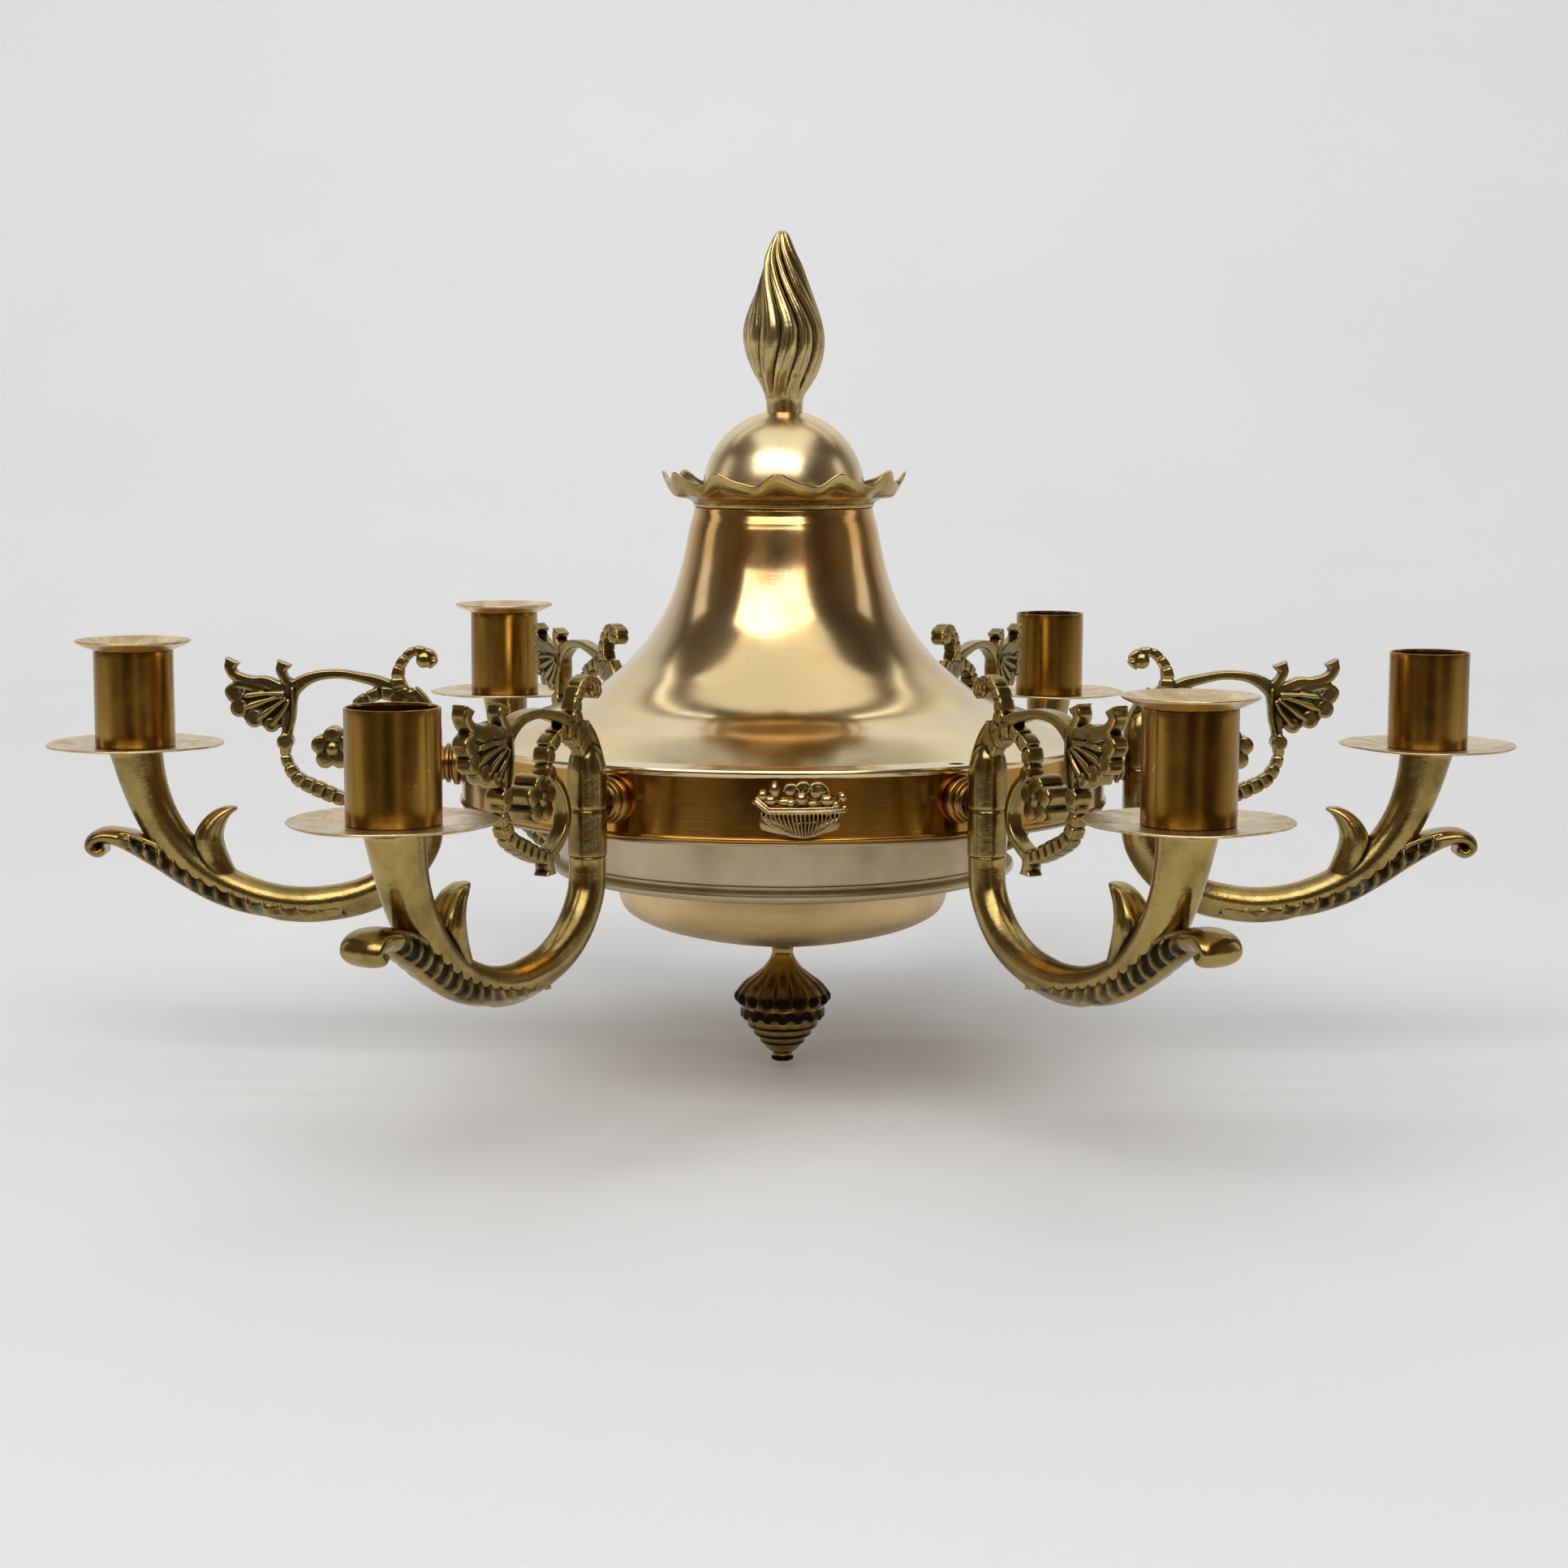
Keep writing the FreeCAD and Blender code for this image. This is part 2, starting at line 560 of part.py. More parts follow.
def arm_branch():
    """Cast branch: spigot, bent tube, trumpet stem, acanthus leaf with a rolled end and a sprout leaf."""
    start = (socket_bottom_z - plate_bottom_z) / -branch_drop
    path = [(0.0, start), (0.0, 0.45), (0.012, 0.58), (0.06, 0.72), (0.13, 0.83), (0.22, 0.905),
            (0.32, 0.945), (0.42, 0.96), (0.53, 0.94), (0.64, 0.885), (0.74, 0.8), (0.82, 0.69),
            (0.89, 0.54), (0.94, 0.38), (0.975, 0.2), (1.0, 0.0)]
    swell = [1.0] * 6 + [0.98, 0.98, 1.0, 1.05, 1.1, 1.15, 1.2, 1.26, 1.4]
    sizes = [tube_radius * k for k in swell] + [stem_mouth_radius]
    stem = branch_sweep(path, [(size, size) for size in sizes])
    mouth_box = 6 * stem_mouth_radius
    trim = Part.makeBox(mouth_box, mouth_box, branch_drop,
                        Vector(arm_reach - mouth_box / 2, -mouth_box / 2, plate_bottom_z))
    top_box = 4 * tube_radius
    top_trim = Part.makeBox(top_box, top_box, branch_drop,
                            Vector(tube_x - top_box / 2, -top_box / 2, socket_bottom_z))
    leaf_path = [(0.27, 0.97), (0.36, 0.985), (0.48, 0.985), (0.6, 0.95), (0.72, 0.87), (0.83, 0.76),
                 (0.93, 0.65), (1.03, 0.565), (1.1, 0.535), (1.145, 0.56), (1.15, 0.61), (1.125, 0.635)]
    leaf_halves = [1.4, 2.2, 2.8, 3.4, 4.0, 4.2, 4.0, 3.4, 2.8, 2.4, 2.0, 1.4]
    leaf_widths = [0.5, 0.8, 0.95, 1.0, 1.0, 1.0, 1.0, 1.0, 1.0, 0.95, 0.9, 0.85]
    leaf_sizes = [(h, leaf_width / 2 * w) for h, w in zip(leaf_halves, leaf_widths)]
    leaf = branch_sweep(leaf_path, leaf_sizes)
    sprout_path = [(0.71, 0.83), (0.745, 0.68), (0.75, 0.56), (0.725, 0.45), (0.685, 0.385), (0.65, 0.36)]
    sprout_halves = [5.4, 4.8, 4.2, 3.0, 1.7, 0.7]
    sprout_widths = [0.9, 1.0, 0.95, 0.8, 0.55, 0.25]
    sprout_sizes = [(h, sprout_width / 2 * w) for h, w in zip(sprout_halves, sprout_widths)]
    sprout = branch_sweep(sprout_path, sprout_sizes)
    spigot = rod_z(spigot_radius, socket_bottom_z - tube_radius, socket_bottom_z + spigot_reach, tube_x)
    thread_end = plate_bottom_z - screw_grip - hole_gap
    thread = rod_z(screw_radius + thread_gap, thread_end, plate_bottom_z + 1, arm_reach)
    limb = stem.cut(top_trim).cut(trim)
    return fuse([limb, leaf, sprout, spigot]).cut(thread)


# ---- plate, cup, ring ----
def drip_plate():
    """Thin round tray, flat under the cup and rising to its edge."""
    edge_z = plate_top_z + plate_lift
    plate = turned([
        (screw_radius + hole_gap, plate_bottom_z), (plate_flat_radius, plate_bottom_z),
        (plate_radius, edge_z - plate_thickness), (plate_radius, edge_z), (plate_flat_radius, plate_top_z),
        (screw_radius + hole_gap, plate_top_z)])
    plate.translate(Vector(arm_reach, 0, 0))
    return plate


def candle_cup():
    """Thin straight tube with a floor, recessed for the screw head."""
    recess_z = cup_floor_z - screw_head_height - hole_gap
    recess = screw_head_radius + hole_gap
    cup = turned([
        (screw_radius + hole_gap, plate_top_z), (cup_radius, plate_top_z), (cup_radius, cup_top_z),
        (cup_bore, cup_top_z), (cup_bore, cup_floor_z), (recess, cup_floor_z), (recess, recess_z),
        (screw_radius + hole_gap, recess_z)])
    cup.translate(Vector(arm_reach, 0, 0))
    return cup


def cup_screws():
    """One pan-headed screw through each cup and plate into the stem."""
    head_z = cup_floor_z - screw_head_height - hole_gap
    shank = rod_z(screw_radius, plate_bottom_z - screw_grip, head_z + tiny, arm_reach)
    head = rod_z(screw_head_radius, head_z, head_z + screw_head_height, arm_reach)
    return around(fuse([shank, head]))


def candle_ring():
    """Loose flanged ring: a short neck inside the cup and a dished flange on its rim."""
    bore = ring_neck_radius - ring_wall
    rest = cup_radius + hole_gap
    ring = turned([
        (bore, cup_top_z - ring_neck_depth), (ring_neck_radius, cup_top_z - ring_neck_depth),
        (ring_neck_radius, cup_top_z), (rest, cup_top_z), (ring_flange_radius, cup_top_z + ring_lift),
        (ring_flange_radius, cup_top_z + ring_lift + ring_wall), (rest, cup_top_z + ring_wall),
        (bore, cup_top_z + ring_wall)])
    ring.translate(Vector(arm_reach, 0, 0))
    return ring


# ---- basket applique ----
def rivets(extra=0.0):
    """Two rivets of the applique, drawn at azimuth 0."""
    pair = []
    seat_x = drum_inner - rivet_head_height
    for side in (-rivet_spread, rivet_spread):
        shank = rod_x(rivet_radius + extra, seat_x, drum_radius + basket_depth / 2 + extra, basket_rim_z)
        head = rod_x(rivet_radius * 2 + extra, seat_x - rivet_head_height, seat_x + tiny, basket_rim_z)
        rivet = fuse([shank, head])
        rivet.translate(Vector(0, side, 0))
        pair.append(rivet)
    return Part.makeCompound(pair)


def ball(y, z, depth, radius):
    """A round fruit standing out from the band."""
    return Part.makeSphere(radius, Vector(drum_radius + depth, y, z))


def basket_applique():
    """Ribbed basket with a rim and a heap of round fruit, hollowed to sit on the band."""
    back = drum_radius - basket_root
    top_z = basket_rim_z - basket_rim_height * 0.4
    foot_z = basket_rim_z - basket_body_height
    corners = [(-0.5, top_z), (0.5, top_z), (0.38, foot_z), (-0.38, foot_z), (-0.5, top_z)]
    face = Part.Face(Part.makePolygon([Vector(back, basket_body_width * k, z) for k, z in corners]))
    body = face.extrude(Vector(basket_root + basket_depth * 0.7, 0, 0))
    rib_x = drum_radius + basket_depth * 0.6
    ribs = []
    for i in range(basket_ribs):
        share = i / (basket_ribs - 1) - 0.5
        foot = Vector(rib_x, basket_body_width * 0.74 * share, foot_z)
        head = Vector(rib_x, basket_body_width * 0.96 * share, top_z)
        ribs.append(Part.makeCylinder(basket_body_width * 0.028, (head - foot).Length, foot, head - foot))
    rim = Part.makeBox(basket_root + basket_depth, basket_width, basket_rim_height,
                       Vector(back, -basket_width / 2, basket_rim_z - basket_rim_height / 2))
    fruit = []
    for count, spread, lift, scale in fruit_rows:
        for i in range(count):
            y = basket_width * spread * (i / (count - 1) - 0.5)
            z = basket_rim_z + fruit_lift + fruit_radius * lift
            fruit.append(ball(y, z, basket_depth * 0.35, fruit_radius * scale))
    band = turn(rod_z(drum_radius, 2 * drum_bottom_z, -drum_bottom_z), 180)
    whole = fuse([piece.cut(band) for piece in [body, rim] + ribs + fruit])
    return turn(whole.cut(rivets(thread_gap)), basket_azimuth)


def save(name, shape):
    """Write one piece to its own file."""
    shape.exportStep(os.path.join("parts", name + ".step"))


def main():
    os.makedirs("parts", exist_ok=True)
    pieces = {
        "bell_cover": bell_cover(),
        "drum_band": drum_band(),
        "pan_flange": pan_flange(),
        "lower_pan": lower_pan(),
        "bottom_dish": bottom_dish(),
        "scalloped_collar": scalloped_collar(),
        "dome_cap": dome_cap(),
        "flame_finial": flame_finial(),
        "pendant_finial": pendant_finial(),
        "centre_rod": rod_z(rod_radius, dish_bottom_z - rod_grip, flame_base_z + rod_grip),
        "rod_nuts": rod_nuts(),
        "arm_studs": arm_studs(),
        "arm_washers": arm_washers(),
        "arm_nuts": arm_nuts(),
        "cup_screws": cup_screws(),
        "basket_applique": basket_applique(),
        "basket_rivets": turn(rivets(), basket_azimuth),
    }
    per_arm = {
        "arm_collar": arm_collar(),
        "scroll_bracket": scroll_bracket(),
        "arm_branch": arm_branch(),
        "drip_plate": drip_plate(),
        "candle_cup": candle_cup(),
    }
    for arm in range(1, arm_count + 1):
        for name, shape in per_arm.items():
            pieces[f"{name}_{arm}"] = turn(shape, azimuth_of(arm))
    ring = candle_ring()
    for arm in ring_arms:
        pieces[f"candle_ring_{arm}"] = turn(ring, azimuth_of(arm))
    for name, shape in pieces.items():
        save(name, shape)


main()
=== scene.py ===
import json
import math

import bpy
import numpy as np
from mathutils import Matrix, Vector


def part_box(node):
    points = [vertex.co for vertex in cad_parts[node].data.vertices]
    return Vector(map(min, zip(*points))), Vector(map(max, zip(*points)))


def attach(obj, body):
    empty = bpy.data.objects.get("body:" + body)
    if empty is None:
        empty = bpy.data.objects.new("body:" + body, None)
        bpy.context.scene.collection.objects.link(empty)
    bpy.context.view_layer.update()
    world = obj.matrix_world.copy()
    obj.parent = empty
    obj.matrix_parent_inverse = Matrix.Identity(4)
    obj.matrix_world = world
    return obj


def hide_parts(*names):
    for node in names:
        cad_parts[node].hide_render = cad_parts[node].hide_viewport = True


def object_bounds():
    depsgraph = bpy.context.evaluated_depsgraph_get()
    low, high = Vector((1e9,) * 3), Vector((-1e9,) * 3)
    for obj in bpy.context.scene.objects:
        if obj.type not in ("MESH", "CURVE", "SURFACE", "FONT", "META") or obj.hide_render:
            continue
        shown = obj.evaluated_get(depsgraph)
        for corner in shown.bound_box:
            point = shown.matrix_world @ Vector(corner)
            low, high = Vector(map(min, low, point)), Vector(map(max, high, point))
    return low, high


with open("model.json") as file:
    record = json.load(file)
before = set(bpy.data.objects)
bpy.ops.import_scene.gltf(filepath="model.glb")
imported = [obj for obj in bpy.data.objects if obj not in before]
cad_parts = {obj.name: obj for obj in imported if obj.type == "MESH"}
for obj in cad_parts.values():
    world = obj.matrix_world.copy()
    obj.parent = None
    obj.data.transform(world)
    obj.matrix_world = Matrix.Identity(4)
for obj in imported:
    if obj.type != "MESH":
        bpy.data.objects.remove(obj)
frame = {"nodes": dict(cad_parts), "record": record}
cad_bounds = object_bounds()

# Looks of the brass candle chandelier. Shapes are worked out in millimetres from the frame's boxes
# and written to the scene in metres. An arm is drawn in the XZ plane and turned about Z.

MM = 0.001
ROOT = "body"
ARMS = range(1, 7)
ARM_STEP = 60
RING_ARMS = [arm for arm in ARMS if f"candle_ring_{arm}" in frame["nodes"]]


def box_mm(node):
    """Lowest and highest corner of a CAD node in millimetres."""
    low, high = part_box(node)
    return np.array(low) / MM, np.array(high) / MM


# ---- places read from the frame ----
bell_low, bell_high = box_mm("bell_cover")
band_low, band_high = box_mm("drum_band")
flange_low, flange_high = box_mm("pan_flange")
pan_low, pan_high = box_mm("lower_pan")
dish_low, dish_high = box_mm("bottom_dish")
dome_low, dome_high = box_mm("dome_cap")
scallop_low, scallop_high = box_mm("scalloped_collar")
flame_low, flame_high = box_mm("flame_finial")
pendant_low, pendant_high = box_mm("pendant_finial")
collar_low, collar_high = box_mm("arm_collar_1")
cup_low, cup_high = box_mm("candle_cup_1")
plate_low, plate_high = box_mm("drip_plate_1")
basket_low, basket_high = box_mm("basket_applique")

ARM_REACH = (cup_low[0] + cup_high[0]) / 2
CUP_RADIUS = (cup_high[0] - cup_low[0]) / 2
PLATE_RADIUS = (plate_high[0] - plate_low[0]) / 2
COLLAR_AXIS_Z = (collar_low[2] + collar_high[2]) / 2
COLLAR_RADIUS = (collar_high[2] - collar_low[2]) / 2
PAD_X = collar_high[0]
RIM_RADIUS = bell_high[0]
BAND_RADIUS = 101.5 / 102.8 * RIM_RADIUS
SOCKET_RADIUS = 5.6
TUBE_X = PAD_X + SOCKET_RADIUS
TUBE_RADIUS = 5.3
STEM_TOP_RADIUS = 8.3
PLATE_BOTTOM_Z = plate_low[2]
BRANCH_DROP = 51.8
BRACKET_SPAN = plate_low[0] - 0.9 - TUBE_X
BRACKET_RISE = 37.0
BRACKET_THICKNESS = 5.0
SOCKET_BOTTOM_Z = -24.6

# ---- sizes that pieces share ----
SHEET = 1.2
GAP = 0.2
ROD_HOLE = 3.2
LOOSE_ROD_HOLE = 3.3
SCREW_HOLE = 2.1
PLATE_SHEET = 0.8
PLATE_FLAT_RADIUS = 14.5
CUP_SHEET = 0.8
CUP_FLOOR = 2.2
RING_SHEET = 0.8
RING_NECK_LENGTH = 9
FIRST_CHAIN_HOLE = -60


# ---------------------------------------------------------------- mesh helpers
def spline(points, count):
    """Evenly spaced samples of a smooth curve through the points, any number of columns."""
    p = np.array(points, float)
    p = np.vstack([2 * p[0] - p[1], p, 2 * p[-1] - p[-2]])
    dense = []
    for i in range(1, len(p) - 2):
        t = np.linspace(0, 1, 24, endpoint=False)[:, None]
        a, b, c, d = p[i - 1], p[i], p[i + 1], p[i + 2]
        dense.append(0.5 * (2 * b + (c - a) * t + (2 * a - 5 * b + 4 * c - d) * t ** 2
                            + (3 * b - a - 3 * c + d) * t ** 3))
    dense = np.vstack(dense + [p[-2:-1]])
    steps = np.linalg.norm(np.diff(dense[:, :2], axis=0), axis=1)
    run = np.concatenate([[0], np.cumsum(steps)])
    at = np.linspace(0, run[-1], count)
    return np.column_stack([np.interp(at, run, dense[:, k]) for k in range(dense.shape[1])])


def grid_faces(rows, columns, close_rows=False, close_columns=True):
    """Quads of a grid of points, wrapped where asked."""
    faces = []
    last_row = rows if close_rows else rows - 1
    last_column = columns if close_columns else columns - 1
    for i in range(last_row):
        for j in range(last_column):
            a = i * columns + j
            b = i * columns + (j + 1) % columns
            c = ((i + 1) % rows) * columns + (j + 1) % columns
            d = ((i + 1) % rows) * columns + j
            faces.append((a, b, c, d))
    return faces


def lathe(section, steps=240, shape=None):
    """A closed section (r, z) turned about Z. shape(r, z, angle) may move each ring's points."""
    section = np.array(section, float)
    angle = np.linspace(0, 2 * math.pi, steps, endpoint=False)
    r = np.repeat(section[:, :1], steps, axis=1)
    z = np.repeat(section[:, 1:2], steps, axis=1)
    theta = np.repeat(angle[None, :], len(section), axis=0)
    if shape:
        r, z = shape(r, z, theta)
    verts = np.stack([r * np.cos(theta), r * np.sin(theta), z], axis=-1).reshape(-1, 3)
    return verts, grid_faces(len(section), steps, close_rows=True)


def rounded(section, radius, steps=5):
    """A closed section with each corner cut to a small curve."""
    p = np.array(section, float)
    out = []
    for i, here in enumerate(p):
        before = p[i - 1] - here
        after = p[(i + 1) % len(p)] - here
        a = min(radius, np.linalg.norm(before) * 0.45)
        b = min(radius, np.linalg.norm(after) * 0.45)
        start = here + before / max(np.linalg.norm(before), 1e-9) * a
        stop = here + after / max(np.linalg.norm(after), 1e-9) * b
        for t in np.linspace(0, 1, steps):
            out.append((1 - t) ** 2 * start + 2 * t * (1 - t) * here + t ** 2 * stop)
    return np.array(out)


def sweep(path, half_height, half_width, around=40, square=2.0, relief=None):
    """A closed limb along a path in the XZ plane. relief(share, angle) adds height to the skin in mm."""
    path = np.array(path, float)
    count = len(path)
    tangent = np.gradient(path, axis=0)
    tangent /= np.linalg.norm(tangent, axis=1)[:, None]
    normal = np.column_stack([-tangent[:, 1], tangent[:, 0]])
    angle = np.linspace(0, 2 * math.pi, around, endpoint=False)
    c = np.sign(np.cos(angle)) * np.abs(np.cos(angle)) ** (2 / square)
    s = np.sign(np.sin(angle)) * np.abs(np.sin(angle)) ** (2 / square)
    share = np.linspace(0, 1, count)[:, None]
    extra = relief(share, angle[None, :]) if relief else np.zeros((count, around))
    h = np.broadcast_to(np.asarray(half_height, float).reshape(-1, 1), (count, 1))
    w = np.broadcast_to(np.asarray(half_width, float).reshape(-1, 1), (count, 1))
    up = (h + extra) * c
    side = (w + extra) * s
    x = path[:, :1] + normal[:, :1] * up
    z = path[:, 1:] + normal[:, 1:] * up
    rings = np.stack([x, side, z], axis=-1)
    first = np.broadcast_to(rings[:1].mean(axis=1, keepdims=True), rings[:1].shape)
    last = np.broadcast_to(rings[-1:].mean(axis=1, keepdims=True), rings[-1:].shape)
    rings = np.concatenate([first, rings, last])
    return rings.reshape(-1, 3), grid_faces(count + 2, around)


def ball(centre, radius, scale=(1, 1, 1), steps=24):
    """A closed rounded lump."""
    lat = np.linspace(0, math.pi, steps)
    section = np.column_stack([np.sin(lat), np.cos(lat)])
    angle = np.linspace(0, 2 * math.pi, steps, endpoint=False)
    x = section[:, :1] * np.cos(angle)
    y = section[:, :1] * np.sin(angle)
    z = np.repeat(section[:, 1:], steps, axis=1)
    points = np.stack([x, y, z], axis=-1).reshape(-1, 3)
    return points * radius * np.array(scale) + np.array(centre), grid_faces(steps, steps)


def drum_along_y(centre, radius, half, edge, dome=0.0, steps=36):
    """A short rounded bar across the XZ plane, its faces domed or dished."""
    one_side = [(0, half + dome), (radius * 0.5, half + dome * 0.7), (radius - edge, half),
                (radius - edge * 0.3, half - edge * 0.3), (radius, half - edge)]
    section = [(r, -y) for r, y in one_side] + one_side[::-1]
    angle = np.linspace(0, 2 * math.pi, steps, endpoint=False)
    rings = [[(centre[0] + r * math.cos(a), y, centre[1] + r * math.sin(a)) for a in angle]
             for r, y in section]
    return np.array(rings).reshape(-1, 3), grid_faces(len(section), steps)


def join(pieces):
    """Several (verts, faces) as one."""
    verts = []
    faces = []
    base = 0
    for v, f in pieces:
        verts.append(v)
        faces += [tuple(i + base for i in face) for face in f]
        base += len(v)
    return np.vstack(verts), faces


def to_mesh(name, verts, faces):
    """A Blender mesh in metres."""
    mesh = bpy.data.meshes.new(name)
    mesh.from_pydata((np.asarray(verts) * MM).tolist(), [], faces)
    mesh.validate()
    return mesh


def finished_mesh(obj):
    """A new mesh with the object's modifiers applied."""
    return bpy.data.meshes.new_from_object(obj.evaluated_get(bpy.context.evaluated_depsgraph_get()))


def cast(name, pieces, voxel, smoothing=1):
    """Overlapping closed shapes melted into one casting."""
    mesh = to_mesh(name, *join(pieces))
    worker = bpy.data.objects.new(name + "_worker", mesh)
    bpy.context.scene.collection.objects.link(worker)
    remesh = worker.modifiers.new("melt", "REMESH")
    remesh.mode = "VOXEL"
    remesh.voxel_size = voxel * MM
    smooth = worker.modifiers.new("soften", "SMOOTH")
    smooth.factor = 0.5
    smooth.iterations = smoothing
    result = finished_mesh(worker)
    bpy.data.objects.remove(worker)
    result.name = name
    return result


def add_cavity(mesh, rounds=14, size=0.35):
    """Stores how deep each point lies below its surroundings, for patina and painted shade in the recesses
    and a painted highlight on high spots.
    """
    count = len(mesh.vertices)
    pos = np.empty(count * 3)
    mesh.vertices.foreach_get("co", pos)
    pos = pos.reshape(-1, 3)
    normal = np.empty(count * 3)
    mesh.vertex_normals.foreach_get("vector", normal)
    normal = normal.reshape(-1, 3)
    edge = np.empty(len(mesh.edges) * 2, np.int32)
    mesh.edges.foreach_get("vertices", edge)
    edge = edge.reshape(-1, 2)
    a = np.concatenate([edge[:, 0], edge[:, 1]])
    b = np.concatenate([edge[:, 1], edge[:, 0]])
    degree = np.maximum(np.bincount(a, minlength=count), 1)
    soft = pos.copy()
    for _ in range(rounds):
        soft = np.column_stack([np.bincount(a, weights=soft[b, k], minlength=count) for k in range(3)])
        soft /= degree[:, None]
    depth = np.einsum("ij,ij->i", soft - pos, normal) / (size * MM)
    set_cavity(mesh, depth)


def set_cavity(mesh, values):
    """Stores a known depth of carving, for patina and painted shade in the recesses."""
    layer = mesh.attributes.new("cavity", "FLOAT", "POINT")
    layer.data.foreach_set("value", np.asarray(values, np.float32))


def piece(name, mesh, material, nodes, body=ROOT, turn=0.0, sharp=40):
    """Puts a mesh in the scene: smooth shading, material, body and the CAD nodes that it stands for."""
    mesh.shade_smooth()
    if sharp:
        mesh.set_sharp_from_angle(angle=math.radians(sharp))
    if not mesh.materials:
        mesh.materials.append(material)
    obj = bpy.data.objects.new(name, mesh)
    bpy.context.scene.collection.objects.link(obj)
    obj.matrix_world = Matrix.Rotation(math.radians(turn), 4, "Z")
    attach(obj, body)
    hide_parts(*nodes)
    return obj


def on_arms(kind, mesh, material, node, sharp=40):
    """The same mesh on each of the six arms."""
    for arm in ARMS:
        piece(f"{kind}_{arm}", mesh, material, [f"{node}_{arm}"], turn=arm_turn(arm), sharp=sharp)


def arm_turn(arm):
    """Degrees from arm 1 to the numbered arm."""
    return (arm - 1) * ARM_STEP


def turned(name, section, material, nodes, steps=240, shape=None, sharp=40, cavity=False):
    """A spun or turned piece on the main axis."""
    mesh = to_mesh(name, *lathe(section, steps, shape))
    if cavity:
        add_cavity(mesh)
    return piece(name, mesh, material, nodes, sharp=sharp)


# ---------------------------------------------------------------- material helpers
class Shader:
    """A small builder for node materials."""

    def __init__(self, name):
        self.material = bpy.data.materials.new(name)
        self.material.use_nodes = True
        self.nodes = self.material.node_tree.nodes
        self.links = self.material.node_tree.links
        self.surface = self.nodes["Principled BSDF"]
        coordinates = self.nodes.new("ShaderNodeTexCoord").outputs["Object"]
        scatter = self.nodes.new("ShaderNodeObjectInfo").outputs["Random"]
        shift = self.add("ShaderNodeVectorMath", {0: (3.1, 1.7, 2.3), "Scale": scatter}, operation="SCALE")
        self.place = self.add("ShaderNodeVectorMath", {0: coordinates, 1: shift}, operation="ADD")
        self.plain = coordinates

    def add(self, kind, inputs=None, output=0, **settings):
        node = self.nodes.new(kind)
        for key, value in settings.items():
            setattr(node, key, value)
        for key, value in (inputs or {}).items():
            self.feed(node.inputs[key], value)
        return node.outputs[output]

    def feed(self, socket, value):
        if isinstance(value, bpy.types.NodeSocket):
            self.links.new(value, socket)
        else:
            socket.default_value = value

    def set(self, **inputs):
        for key, value in inputs.items():
            self.feed(self.surface.inputs[key.replace("_", " ")], value)

    def noise(self, scale, detail=4.0, roughness=0.55, distortion=0.0, place=None):
        inputs = {"Vector": place or self.place, "Scale": scale, "Detail": detail,
                  "Roughness": roughness, "Distortion": distortion}
        return self.add("ShaderNodeTexNoise", inputs, "Fac")

    def ramp(self, value, low, high, to_low=0.0, to_high=1.0):
        """Value spread from low..high to to_low..to_high, held at both ends."""
        inputs = {"Value": value, "From Min": low, "From Max": high, "To Min": to_low, "To Max": to_high}
        return self.add("ShaderNodeMapRange", inputs)

    def math(self, operation, a, b=0.0):
        return self.add("ShaderNodeMath", {0: a, 1: b}, operation=operation)

    def mix(self, share, a, b):
        node = self.nodes.new("ShaderNodeMix")
        node.data_type = "RGBA"
        self.feed(node.inputs[0], share)
        self.feed(node.inputs[6], a if isinstance(a, bpy.types.NodeSocket) else (*a, 1))
        self.feed(node.inputs[7], b if isinstance(b, bpy.types.NodeSocket) else (*b, 1))
        return node.outputs[2]

    def stretched(self, scale):
        """Coordinates scaled by a different factor along each axis, for streaks."""
        return self.add("ShaderNodeVectorMath", {0: self.place, 1: scale}, operation="MULTIPLY")

    def split(self):
        """The plain coordinates as three values."""
        node = self.nodes.new("ShaderNodeSeparateXYZ")
        self.links.new(self.plain, node.inputs[0])
        return node.outputs

    def rings(self):
        """Coordinates for lines that run round Z: distance from the axis, height, and a slow turn."""
        x, y, z = self.split()
        squares = self.math("ADD", self.math("MULTIPLY", x, x), self.math("MULTIPLY", y, y))
        radius = self.math("SQRT", squares)
        angle = self.math("ARCTAN2", y, x)
        return self.add("ShaderNodeCombineXYZ", {0: radius, 1: z, 2: self.math("MULTIPLY", angle, 0.004)})

    def bump(self, height, distance, strength=1.0, normal=None):
        """Relief of the given distance in metres, laid over an earlier normal where one is given."""
        inputs = {"Height": height, "Distance": distance, "Strength": strength}
        if normal is not None:
            inputs["Normal"] = normal
        return self.add("ShaderNodeBump", inputs)


